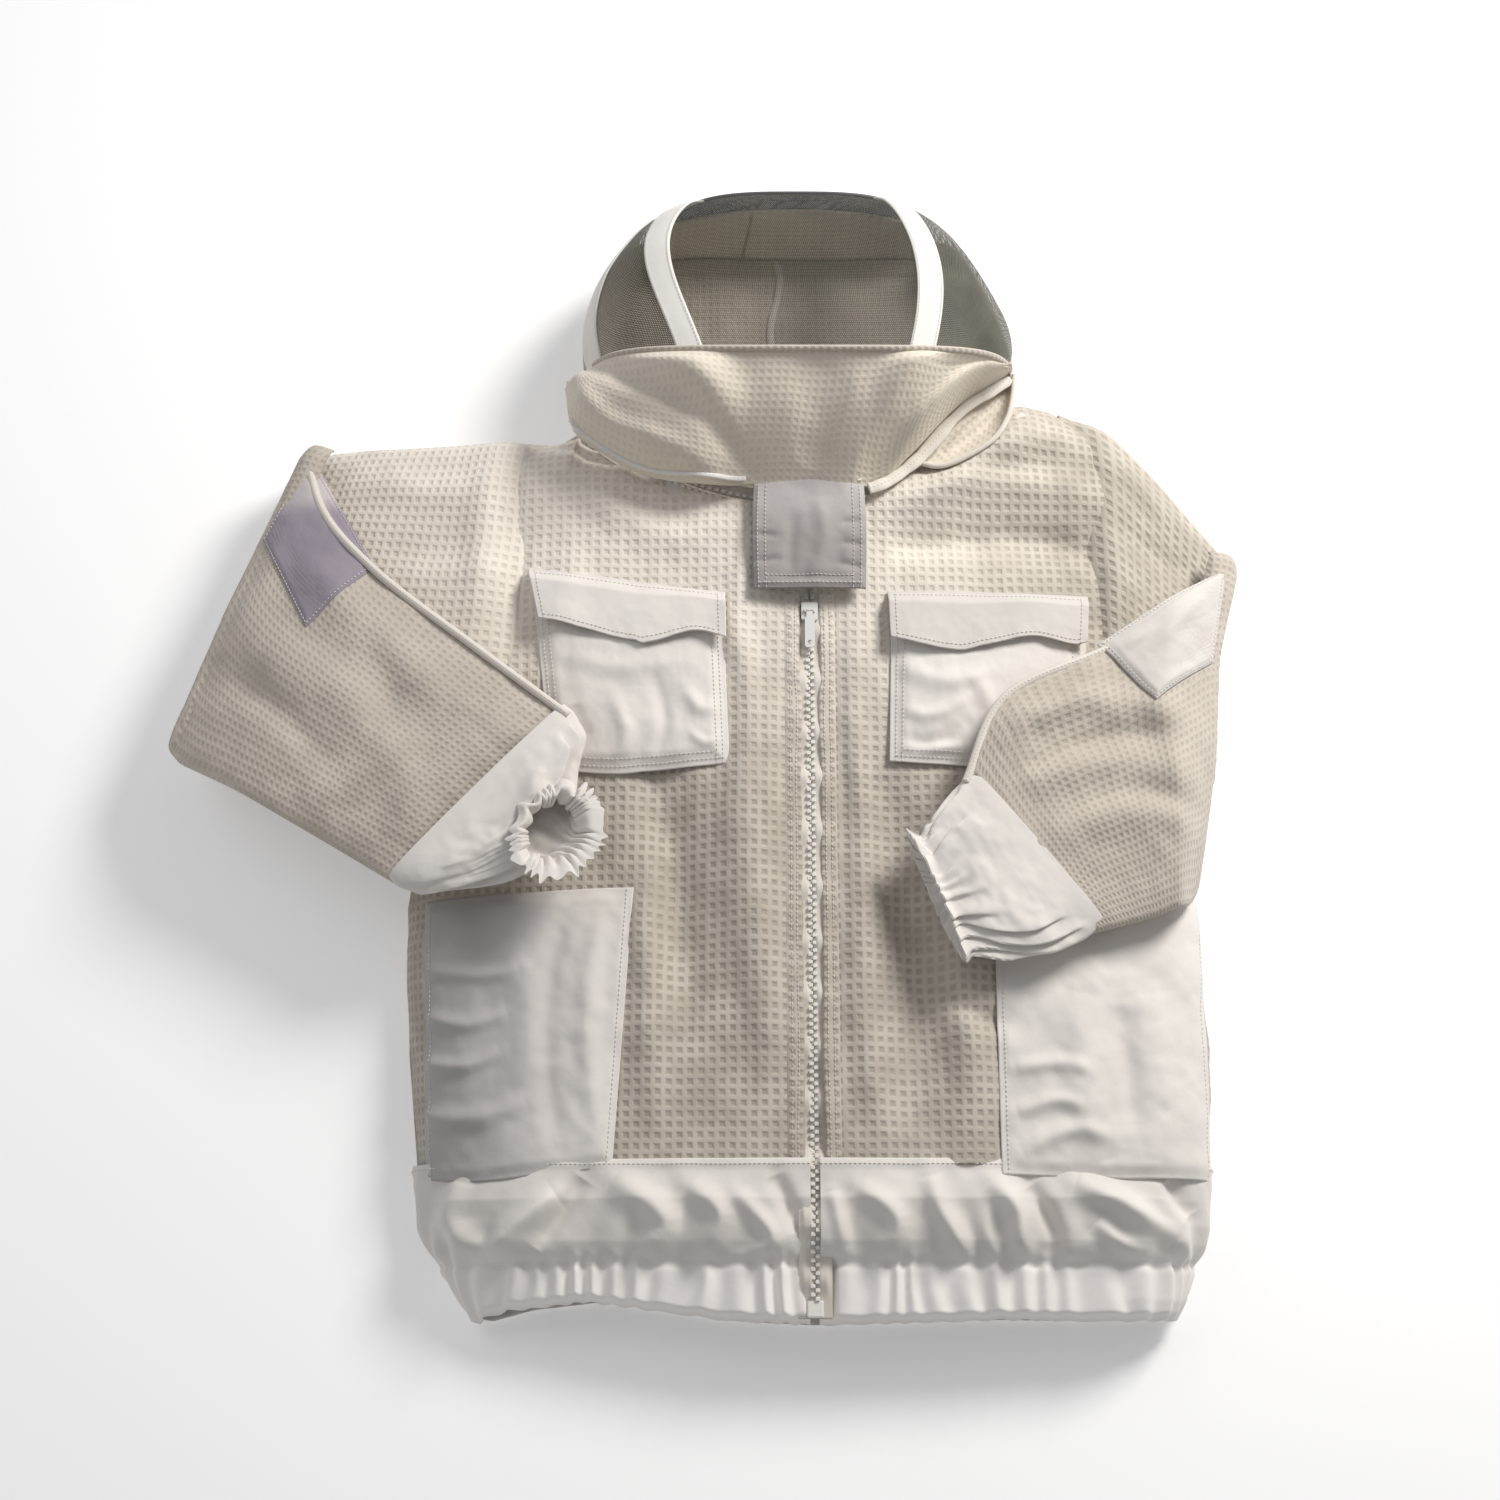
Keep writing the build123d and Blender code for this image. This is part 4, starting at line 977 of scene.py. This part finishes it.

# the turn of each sleeve at its fold
TURNS = {
    "right": dict(line=[(-418, 266), (-464, 136), (-510, 6)], inward=(1, -0.34), high=73.5),
    "left": dict(line=[(353, 162), (331, 72), (320, -34)], inward=(-1, 0.18), high=73.0),
}
for side, w in TURNS.items():
    n = 160
    line = curve(w["line"], n)
    inward = np.array(w["inward"]) / np.hypot(*w["inward"])
    ends = np.minimum(np.linspace(0, 1, n), np.linspace(1, 0, n))
    close = rounding(ends, 0.07)[:, None]
    out, up = oval(np.linspace(-PI / 2, PI / 2, 40)[None, :], 2.4)
    low = 2.5
    middle, tall = (low + w["high"]) / 2, (w["high"] - low) / 2
    depth = 17 - (19.5 * out) * (0.6 + 0.4 * close)
    depth = np.concatenate([depth[:, :1] + 9, depth, depth[:, -1:] + 9], axis=1)
    z = middle + tall * up * (0.75 + 0.25 * close)
    z = np.concatenate([z[:, :1], z, z[:, -1:] - 1.5], axis=1)
    wave = 1.6 * fbm(line[:, 1:2], z, 34, 201) + 1.0 * fbm(line[:, 1:2], z, 13, 205)
    plan = line[:, None] + inward * (depth + wave)[..., None]
    P = np.concatenate([plan, z[..., None]], -1)
    inside = (*(line[n // 2] + 30 * inward), middle)
    turn = cloth(f"{side}_sleeve_turn", P, CREAM, None, thick=1.8, hint=inside)
    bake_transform(turn)

# ------------------------------------------------------------------ cuffs

# each row: how far along, centre, half width, half height
CUFFS = {
    "right": [
        (0.00, (-259, -46, 95.5), (65, 69, 0), (0, 0, 13.5)),
        (0.10, (-251, -54, 96), (66, 70, 0), (0, 0, 15)),
        (0.30, (-236, -68, 97), (60, 62, 0), (0, 0, 16)),
        (0.46, (-225, -77, 98), (44, 46, 0), (-4, 5, 14)),
        (0.60, (-211, -82, 101), (30, 32, 0), (-12, 13, 11)),
        (0.72, (-199, -83, 104), (15, 17, 0), (-13, 14, 3)),
        (0.86, (-195, -84, 116), (21, 23, -1), (-18, 19, 1)),
        (1.00, (-193, -87, 115), (28, 30, -3), (-25, 26, -3)),
    ],
    "left": [
        (0.00, (174, -92, 95), (-48, 60, 0), (0, 0, 13)),
        (0.16, (159, -104, 95), (-47, 60, 0), (0, 0, 14)),
        (0.40, (136, -118, 96), (-38, 55, 0), (0, 0, 15)),
        (0.62, (114, -126, 97), (-27, 49, 0), (0, 0, 13)),
        (0.80, (100, -130, 98), (-17, 42, 0), (1, 0, 9)),
        (0.91, (90, -132, 99), (-20, 50, 0), (3, 0, 13)),
        (1.00, (104, -129, 97), (-10, 28, 0), (1, 0, 4)),
    ],
}
# the rows are eased into each other by a bell that reaches this many steps to each side
EASE = 9
bell = np.exp(-(np.arange(-EASE, EASE + 1) ** 2) / 32.0)
bell /= bell.sum()


def along_cuff(rows, k, t):
    """Column k of a cuff's rows at each t, eased."""
    at = [r[0] for r in rows]
    values = np.stack([np.interp(t, at, [r[k][i] for r in rows]) for i in range(3)], -1)
    padded = np.pad(values, ((EASE, EASE), (0, 0)), mode="edge")
    return np.stack([np.convolve(padded[:, i], bell, "valid") for i in range(3)], -1)[:, None]


for side, sign in SIDES:
    t = np.linspace(0, 1, 150)
    centre, w, h = (along_cuff(CUFFS[side], k, t) for k in (1, 2, 3))
    phi = np.linspace(0, 2 * PI, 280, endpoint=False)[None, :]
    t = t[:, None]
    seed = 136 + 5 * sign
    c, s = oval(phi, 2.7 - 0.7 * smooth(0.3, 0.8, t))
    around = np.degrees(phi)
    pleat = gathers(around + 14 * noise(around, 60 * t, 30, seed + 4), 14.0, seed, 1.2) - 0.42
    broad = gathers(around + 30 * noise(around, 50 * t, 40, seed + 6), 34.0, seed + 2) - 0.42
    ruffle = 0.24 if side == "right" else 0.40
    ruffle = ruffle + 0.14 * noise(around, 40 * t, 26, seed + 9) * smooth(0.8, 1.0, t)
    grow = ruffle * pleat * smooth(0.42, 0.80, t)
    grow += 0.26 * broad * smooth(0.10, 0.40, t) * (1 - smooth(0.6, 0.9, t))
    P = centre + (w * c[..., None] + h * s[..., None]) * (1 + grow)[..., None]
    P[..., 2] += 3.4 * fbm(P[..., 0], P[..., 1], 24, seed + 7) * np.sin(PI * np.clip(t / 0.9, 0, 1))
    P[..., 2] = np.maximum(P[..., 2], 79 + 0.05 * (P[..., 2] - 79))
    nodes = [f"{side}_cuff", f"{side}_cuff_elastic"]
    uv, body = points(around, t * 150), f"{side}_folded_sleeve"
    cloth(f"{side}_cuff_section", P, WHITE, body, uv, closed=True, thick=1.1, replaces=nodes)


def on_arm(arm_points, corners, n, lift, rows=()):
    """A patch laid on top of a sleeve, between four corners in plan."""
    c = np.array(corners, float)
    a, b = grid(n, n)
    a, b = a[..., None], b[..., None]
    plan = (1 - b) * ((1 - a) * c[0] + a * c[1]) + b * ((1 - a) * c[3] + a * c[2])
    x, y = plan[..., 0], plan[..., 1]
    upper = arm_points[:, : arm_points.shape[1] // 2].reshape(-1, 3)
    z = np.empty(x.shape)
    for i in range(n):
        d = (x[i][:, None] - upper[None, :, 0]) ** 2 + (y[i][:, None] - upper[None, :, 1]) ** 2
        near = np.argpartition(d, 6, axis=1)[:, :6]
        weight = 1 / (np.take_along_axis(d, near, 1) + 4)
        z[i] = (upper[near, 2] * weight).sum(1) / weight.sum(1)
    edge = rim(a[..., 0], b[..., 0], 0.08)
    z = z + lift * (0.35 + 0.65 * edge) + folds(x, y, rows) * edge
    return points(x, y, z), plan


GUSSETS = {
    "right": ([(-446, 174), (-413, 252), (-347, 137), (-398, 84)], 90, 2.6),
    "left": ([(226, 72), (340, 150), (322, 66), (266, 20)], 70, 5.0, [
        ([(262, 60), (300, 100), (320, 120)], 6, 3),
        ([(270, 40), (300, 60), (318, 84)], 6, -2.5),
        ([(244, 66), (270, 84)], 5, 2.5),
    ]),
}
for side, shape in GUSSETS.items():
    body = f"{side}_folded_sleeve"
    P, uv = on_arm(forearms[side][0], *shape)
    # both gussets in darker copies of the polycotton, as painted shade
    mat = GUSSET_WHITE if side == "right" else WHITE_FLAP
    cloth(f"{side}_gusset", P, mat, body, uv, thick=1.2, replaces=[f"{side}_underarm_gusset"])
    stitches(f"{side}_gusset_stitching", edge_lines(P, 2, "lrbt"), body)

# ------------------------------------------------------------------ front zip

BOX_FACES = [(3, 2, 1, 0), (4, 5, 6, 7), (0, 1, 5, 4), (1, 2, 6, 5), (2, 3, 7, 6), (3, 0, 4, 7)]


def boxes(name, rows, mat, replaces, edge):
    """Small moulded blocks of the front zip in one piece, each given as a centre and a size."""
    verts, faces = [], []
    for centre, size in rows:
        base = len(verts)
        for dz in (-0.5, 0.5):
            for dx, dy in ((-0.5, -0.5), (0.5, -0.5), (0.5, 0.5), (-0.5, 0.5)):
                verts.append(np.array(centre) + np.array(size) * (dx, dy, dz))
        faces += [tuple(base + k for k in f) for f in BOX_FACES]
    uv = np.zeros((len(verts), 2))
    bevel(add_mesh(name, np.array(verts), faces, uv, mat, "jacket", [replaces], False), edge)


def zip_z(y):
    """The height of the front zip's tape."""
    return np.interp(y, [-440, -402, -376, -334, -318, 192], [55, 64, 78, 77, 69, 68])


PUCKER = 42.0
TOOTH_PITCH = 6.0
TOOTH = (3.4, 2.9, 2.2)
a, b = grid(420, 16)
y = -440 + 632 * b
for side, sign in SIDES:
    x = sign * (0.1 + 12.4 * a)
    puff = (0.5 + 0.5 * np.sin(2 * PI * (y + 5 * noise(y, 0 * y, 60, 153)) / PUCKER)) ** 2.2
    swell = (1 - smooth(8, 12, np.abs(x))) * smooth(0.4, 4, np.abs(x))
    P = points(x, y, zip_z(y) + 3.6 * puff * swell)
    nodes = [f"front_zip_tape_{side}"]
    cloth(f"zip_tape_{side}", P, PIPING, "jacket", thick=0.9, slot="zip_tape", replaces=nodes)
    tooth_y = [-426 + TOOTH_PITCH * (i + (0 if sign > 0 else 0.5)) for i in range(90)]
    teeth = [((sign * 1.7, ty, zip_z(ty) + 1.6), TOOTH) for ty in tooth_y]
    boxes(f"zip_teeth_{side}", teeth, TEETH, f"front_zip_teeth_{side}", 0.5)
stops = [((sign * 2.6, 124, 70), (2.8, 5, 3.2)) for _, sign in SIDES]
boxes("zip_top_stops", stops, METAL, "front_zip_top_stops", 0.3)
boxes("zip_bottom_box", [((0, -433, 57), (12, 12, 4.4))], TEETH, "front_zip_bottom_box", 1.0)

# placket edges beside the zip, puckered by it
a, b = grid(420, 26)
y = -330 + 520 * b
for side, sign in SIDES:
    x = 7.2 + 13.0 * a + 1.1 * noise(y, 0 * y, 26, 149) * (1 - a)
    pucker = (0.9 * np.sin(2 * PI * y / PUCKER + sign * 0.8) + 0.8 * noise(y, 0 * y, 19, 151)) * (1 - a)
    z = torso(sign, x, y)[..., 2] - 1.6 + 2.6 * rounding(a, 0.18) + pucker - 1.4 * smooth(0.8, 1, a)
    P = points(sign * x, y, z)
    cloth(f"{side}_placket", P, CREAM_BODY, "jacket", thick=1.6)
    stitches(f"{side}_placket_stitching", [P[:, k] + (0, 0, 0.5) for k in (17, 8)], "jacket")

# ------------------------------------------------------------------ CAD nodes that show themselves


def dress(node, mat, edge=0.2):
    """Gives a CAD node a material and softened edges."""
    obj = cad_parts[node]
    obj.data.materials.clear()
    obj.data.materials.append(mat)
    bevel(obj, edge).limit_method = "ANGLE"


for node in ("front_zip_slider", "front_zip_pull"):
    dress(node, METAL, 0.45)
for side in ("left", "right"):
    dress(f"neck_zip_slider_{side}", METAL, 0.45)
    dress(f"neck_zip_pull_{side}", METAL, 0.45)
    dress(f"{side}_flap_loop_strip", BINDING)
    dress(f"{side}_pocket_hook_strip", BINDING)
for half in ("lower", "upper"):
    dress(f"neck_zip_tape_{half}", BINDING)
    dress(f"neck_zip_teeth_{half}", TEETH)
for node in ("neck_hook_patches", "neck_tab_loop_patch", "neck_tab_seam"):
    dress(node, BINDING)

# ------------------------------------------------------------------ neck tab

TAB_FOLDS = [
    ([(4, 132), (12, 170), (6, 205)], 7, 3.2),
    ([(-16, 135), (-14, 190)], 6, -2.6),
    ([(28, 140), (34, 176)], 5, 1.8),
    ([(22, 146), (44, 143)], 3.2, -2.4),
    ([(26, 163), (44, 163)], 3.2, -2.6),
    ([(26, 181), (44, 184)], 3.4, -2.2),
    ([(-22, 150), (-44, 148)], 3.2, -2.2),
    ([(-26, 170), (-44, 172)], 3.2, -2.2),
    ([(-30, 134), (30, 133)], 4, -1.6),
]
a, b = grid(90, 90)
x = -45 + 90 * a + 1.2 * np.sin(PI * b) * (2 * a - 1)
y = 125 + (92 + 5 * np.sin(PI * a)) * b
z = 87 + 2.0 * np.sin(PI * a) + 1.4 * fbm(x, y, 26, 161) - 2.2 * (1 - rim(a, b, 0.05))
P = points(x, y, z + folds(x, y, TAB_FOLDS))
cloth("tab", P, TAB_WHITE, "neck_tab_flap", thick=2.4, replaces=["neck_tab"])
stitches("tab_stitching", edge_lines(P) + edge_lines(P, 10), "neck_tab_flap")

# ------------------------------------------------------------------ hood

BRIM_Y, CROWN_Y = 296.0, 480.0
INSIDE_HOOD = (0, 340, 40)

# the hood's sections: y, half width, height, how far its middle lies to the left
HOOD = [
    (205, 170, 150, 0), (262, 172, 160, 0), (296, 180, 166, -6), (345, 184, 164, -8),
    (400, 172, 154, -12), (440, 152, 138, -12), (464, 132, 122, -12), (480, 112, 100, -10),
]
HOOD_ROWS = curve(HOOD, 300)


def hood_row(column, y):
    return np.interp(y, HOOD_ROWS[:, 0], HOOD_ROWS[:, column])


def hood_point(s, y, lift=0.0):
    """A point on the hood's dome: s from -1 at the wearer's right foot to 1 at the left."""
    s, y = np.broadcast_arrays(np.asarray(s, float), np.asarray(y, float))
    angle = (s + 1) / 2 * PI
    c, rise = oval(angle, 3.1)
    x = hood_row(3, y) - (hood_row(1, y) + lift) * c
    z = 2.0 + (hood_row(2, y) + lift - 2.0) * rise
    swept = y + 27 * np.cos(angle) ** 2 * (1 - smooth(BRIM_Y, 420, y)) * smooth(240, BRIM_Y, y)
    return points(x, swept, z)


def s_at(x, y):
    """The dome's s at a plan x."""
    v = np.clip((hood_row(3, y) - x) / hood_row(1, y), -1, 1)
    return np.arccos(np.sign(v) * np.abs(v) ** 1.55) / PI * 2 - 1


def outer(sign, y):
    """Plan x of the dome's outer edge."""
    return hood_row(3, y) + sign * (hood_row(1, y) - 0.4)


# plan x of the middle of each stay casing, as a cubic in y
BANDS = {
    "right": np.polyfit([296, 345, 394, 430, 459, 480], [-95, -111, -124, -121, -110, -97], 3),
    "left": np.polyfit([296, 340, 383, 420, 455, 480], [88, 96, 96, 90, 79, 66], 3),
}


def veil(name, y, right, left, mat, nodes, columns=120, lift=0.0, thick=0):
    """Part of the veil between two lines, given as their plan x for each y. Returns its points."""
    t = np.linspace(0, 1, columns)[None, :]
    y = y[:, None]
    start, end = s_at(right[:, None], y), s_at(left[:, None], y)
    P = hood_point(start + (end - start) * t, y, lift)
    cloth(name, P, mat, "hood", thick=thick, hint=INSIDE_HOOD, replaces=nodes)
    return P


y = np.linspace(BRIM_Y, CROWN_Y, 100)
right_band, left_band = (np.polyval(BANDS[side], y) for side in ("right", "left"))
veil("veil_front", y, right_band + 6, left_band - 6, NET, ["veil_front_mesh"])
veil("veil_right", y, outer(-1, y), right_band - 6, NET_DENSE, ["veil_right_mesh"])
veil("veil_left", y, left_band + 6, outer(1, y), NET_DENSE, ["veil_left_mesh"])
y = np.linspace(BRIM_Y, CROWN_Y, 160)
for side, band in BANDS.items():
    middle = np.polyval(band, y)
    nodes = [f"{side}_stay_casing", f"{side}_veil_stay"]
    P = veil(f"{side}_casing", y, middle - 10.5, middle + 10.5, BINDING, nodes, 14, 1.6, 1.6)
    stitches(f"{side}_casing_stitching", [P[:, 1] + (0, 0, 0.6), P[:, -2] + (0, 0, 0.6)], "hood")

# crown end of the veil
a, k = grid(30, 150)
ring = hood_point(2 * a - 1, CROWN_Y)
ring[..., 0] = -10 + (ring[..., 0] + 10) * (1 - 0.10 * smooth(60, 0, ring[..., 2]))
k = k[..., None] * 0.98
P = ring * (1 - k) + np.array([-10, 482.0, 40]) * k
cloth("veil_crown", P, NET_CROWN, "hood", thick=0, hint=INSIDE_HOOD)
edge = hood_point(np.linspace(-0.92, 0.92, 140), CROWN_Y, 0.8)
tube("crown_piping", edge, 1.6, 1.6, STAY, "hood", 8)

y = np.linspace(BRIM_Y, 462, 120)
veil("right_binding", y, outer(-1, y) + 3, outer(-1, y) + 17, BINDING, ["veil_binding"], 12, 1.5, 1.4)


def hood_back(s, t):
    """The cloth under the head, rising as a wall at the crown."""
    yb = np.interp(t, [0, 0.66, 0.74, 1.0], [212, 452, 464, 473])
    zb = np.interp(t, [0, 0.66, 0.74, 1.0], [4, 6, 15, 84])
    side_rise = (34 + 22 * smooth(282, 312, yb)) * smooth(0.86, 1.0, np.abs(s)) * (1 - smooth(0.6, 0.9, t))
    half = (hood_row(1, yb) - 5) * (1 - 0.10 * smooth(0.75, 1, t))
    x = hood_row(3, yb) + half * np.sign(s) * np.minimum(np.abs(s) * 1.06, 1.0)
    arch = 26 * np.abs(s) ** 2.4 * smooth(0.7, 1, t)
    soft = 5.5 * (1 + fbm(x, yb, 50, 171)) * (1 - smooth(0.7, 0.8, t))
    y = np.maximum(yb, NECK_Y - np.sqrt(np.maximum(262.0**2 - x**2, 0)))
    return points(x, y, zb + side_rise - arch + soft)


a, b = grid(150, 170)
P = hood_back(2 * a - 1, 0.745 * b)
cloth("hood_back_cloth", P, CREAM_BACK, "hood", thick=-2.5, replaces=["hood_back"])
a, b = grid(60, 170)
P = hood_back(2 * a - 1, 0.735 + 0.265 * b)
# the wall in the lighter copy of the mesh, as painted light
cloth("hood_back_wall", P, CREAM_WALL, "hood", thick=-2.5, hint=(0, 300, 60))
cross = hood_back(np.linspace(-0.86, 0.86, 90), np.full(90, 0.735))
tube("hood_cross_seam", cross + (0, -2, 2.0), 2.2, 2.0, CREAM_BACK, "hood", 8)
t = np.linspace(0.36, 0.73, 60)
spine = hood_back(0.02 * np.sin(t * 22) - 0.085, t) + (0, 0, 2.5)
tube("hood_back_seam", spine, 3.6, 2.2, PIPING, "hood", 8)
stitches("hood_back_seam_stitching", [spine + (0, 0, 1.8)], "hood")
wall_seam = hood_back(np.full(30, -0.32), np.linspace(0.75, 0.99, 30)) + (0, -1.5, 0)
tube("hood_wall_seam", wall_seam, 1.5, 1.2, CREAM_BACK, "hood", 8)

BRIM_S = 0.72
brim = hood_point(np.linspace(-BRIM_S, BRIM_S, 240), BRIM_Y, 1.0)
tube("brim_hem", brim, 2.6, 3.4, CREAM, "hood", 12, ["hood_brim_hem"])

# bib: from the brim down to the neck zip, with its lower edge rolled under
BIB_EDGE = [
    (-201, 300, 88), (-190, 260, 86), (-137, 226, 82), (-86, 216, 82), (-46, 217, 84), (0, 217, 85),
    (50, 218, 84), (86, 246, 77), (124, 290, 77), (152, 311, 76), (172, 326, 72),
]
BIB_FOLDS = [
    ([(-196, 290), (-168, 256), (-120, 234), (-56, 210)], 11, 15),
    ([(-186, 318), (-140, 284), (-92, 258), (-46, 226)], 10, -12),
    ([(-160, 318), (-110, 290), (-60, 262), (-16, 214)], 14, 7),
    ([(60, 210), (100, 262), (146, 304)], 7, 12),
    ([(42, 212), (72, 250), (112, 292), (150, 318)], 11, -15),
    ([(20, 226), (52, 266), (96, 300), (130, 324)], 12, 9),
    ([(0, 224), (10, 262), (2, 300)], 18, -6),
    ([(-34, 222), (-26, 262), (-44, 300)], 13, 4),
]
a, b = grid(190, 280)
s, t = 2 * a - 1, 1.16 * b
down = np.clip(t, 0, 1)
neck = curve(BIB_EDGE, 280)
P = hood_point(BRIM_S * s, BRIM_Y, 1.0) * (1 - down[..., None]) + neck * down[..., None]
# the middle keeps back from the tab, which swings up beside it
middle = 1 - smooth(46, 92, np.abs(P[..., 0]))
arc = np.sin(PI * down)
bulge = arc**0.8 * (1 - middle) + 0.38 * arc**1.6 * middle
P[..., 2] += bulge * (16 + 8 * np.cos(PI * s / 2))
P[..., 1] -= bulge * 4
relief = folds(P[..., 0], P[..., 1], BIB_FOLDS) + 3.0 * fbm(P[..., 0], P[..., 1], 44, 181)
relief = np.where(relief > 0, relief * (1 - 0.75 * middle), relief)
P[..., 2] += relief * smooth(0, 0.14, down)
under = np.clip((t - 1) / 0.16, 0, 1)
depth = np.maximum(P[..., 2] - 71 - 6 * smooth(-100, -130, P[..., 0]), 0)
P[..., 2] -= depth * np.sin(under * PI / 2)
P[..., 1] += 12 * (1 - np.cos(under * PI / 2)) + 3 * under
cloth("bib", P, CREAM_BIB, "hood", thick=2.6, replaces=["hood_front"])
ribbon = P[158, 20:118] + (0, 0.5, 2.6)
tube("bib_seam_right", ribbon, 2.4, 1.6, BINDING, "hood", 8)
stitches("bib_seam_stitching", [ribbon + (0, 0, 1.5)], "hood")
edge = neck[176:276] + (3.0, -4.0, 1.0)
run = np.linspace(0, 120, len(edge))
pucker = noise(run, 0 * run, 6.5, 211)
edge[:, 2] += 1.1 * pucker
edge[:, 0] += 1.2 * noise(run, 0 * run + 5, 11, 213)
tube("bib_zip_edge_left", edge, 5.2 + 0.9 * pucker, 1.7, PIPING, "hood", 12)
stitches("bib_zip_edge_stitching", [edge + (0, 0, 1.7)], "hood")

# the loose lobe of the hood's side below the zip edge, with its rim on the shoulder
LOBE_TOP = [(90, 250, 74), (124, 290, 75), (152, 311, 74), (172, 326, 70)]
LOBE_RIM = [(86, 243, 73), (112, 236, 80), (148, 254, 84), (164, 276, 82), (171, 302, 78), (174, 324, 70)]
a, b = grid(44, 90)
rim_line = curve(LOBE_RIM, 90)
P = curve(LOBE_TOP, 90) * (1 - b[..., None]) + rim_line * b[..., None]
P[..., 2] -= 13 * np.sin(PI * b) * np.sin(PI * a) ** 0.6
crease = folds(P[..., 0], P[..., 1], [([(112, 252), (136, 276), (164, 300)], 5, 7)])
P[..., 2] += crease + 1.2 * fbm(P[..., 0], P[..., 1], 20, 191)
cloth("side_lobe", P, CREAM_BIB, "hood", thick=2.0)
tube("side_lobe_rim", rim_line + (0, 0, 0.6), 2.4, 2.0, PIPING, "hood", 10)

# ------------------------------------------------------------------ floor, light, camera

bpy.ops.mesh.primitive_plane_add(size=60, location=(0, 0, -0.0005))
floor = bpy.context.object
floor.name = "floor"
PALE = {
    "Base Color": (0.93, 0.93, 0.93), "Roughness": 0.9,
    "Emission Color": (1.0, 1.0, 1.0), "Emission Strength": 0.22,
}
floor.data.materials.append(Nodes("floor").finish(PALE))


def area(name, place, size, power, colour):
    data = bpy.data.lights.new(name, "AREA")
    data.shape = "DISK"
    data.size = size
    data.energy = power
    data.color = colour
    o = bpy.data.objects.new(name, data)
    o.location = place
    o.rotation_euler = (Vector((0, 0, 0.05)) - Vector(place)).to_track_quat("-Z", "Y").to_euler()
    bpy.context.scene.collection.objects.link(o)


area("key", (1.05, 1.05, 1.25), 0.7, 35, (1.0, 0.985, 0.955))
area("fill", (-1.4, 0.8, 1.6), 1.4, 6, (0.94, 0.95, 1.0))
world = bpy.data.worlds.new("soft")
world.use_nodes = True
world.node_tree.nodes["Background"].inputs[0].default_value = (0.98, 0.98, 1.0, 1)
world.node_tree.nodes["Background"].inputs[1].default_value = 0.31
bpy.context.scene.world = world
bpy.context.scene.view_settings.view_transform = "Standard"

camera = bpy.data.objects.new("camera", bpy.data.cameras.new("camera"))
camera.data.lens = 50
camera.data.sensor_width = 36
camera.location = (-0.048, -0.51503, 1.63509)
camera.rotation_euler = (math.radians(18), 0, 0)
bpy.context.scene.collection.objects.link(camera)
bpy.context.scene.camera = camera
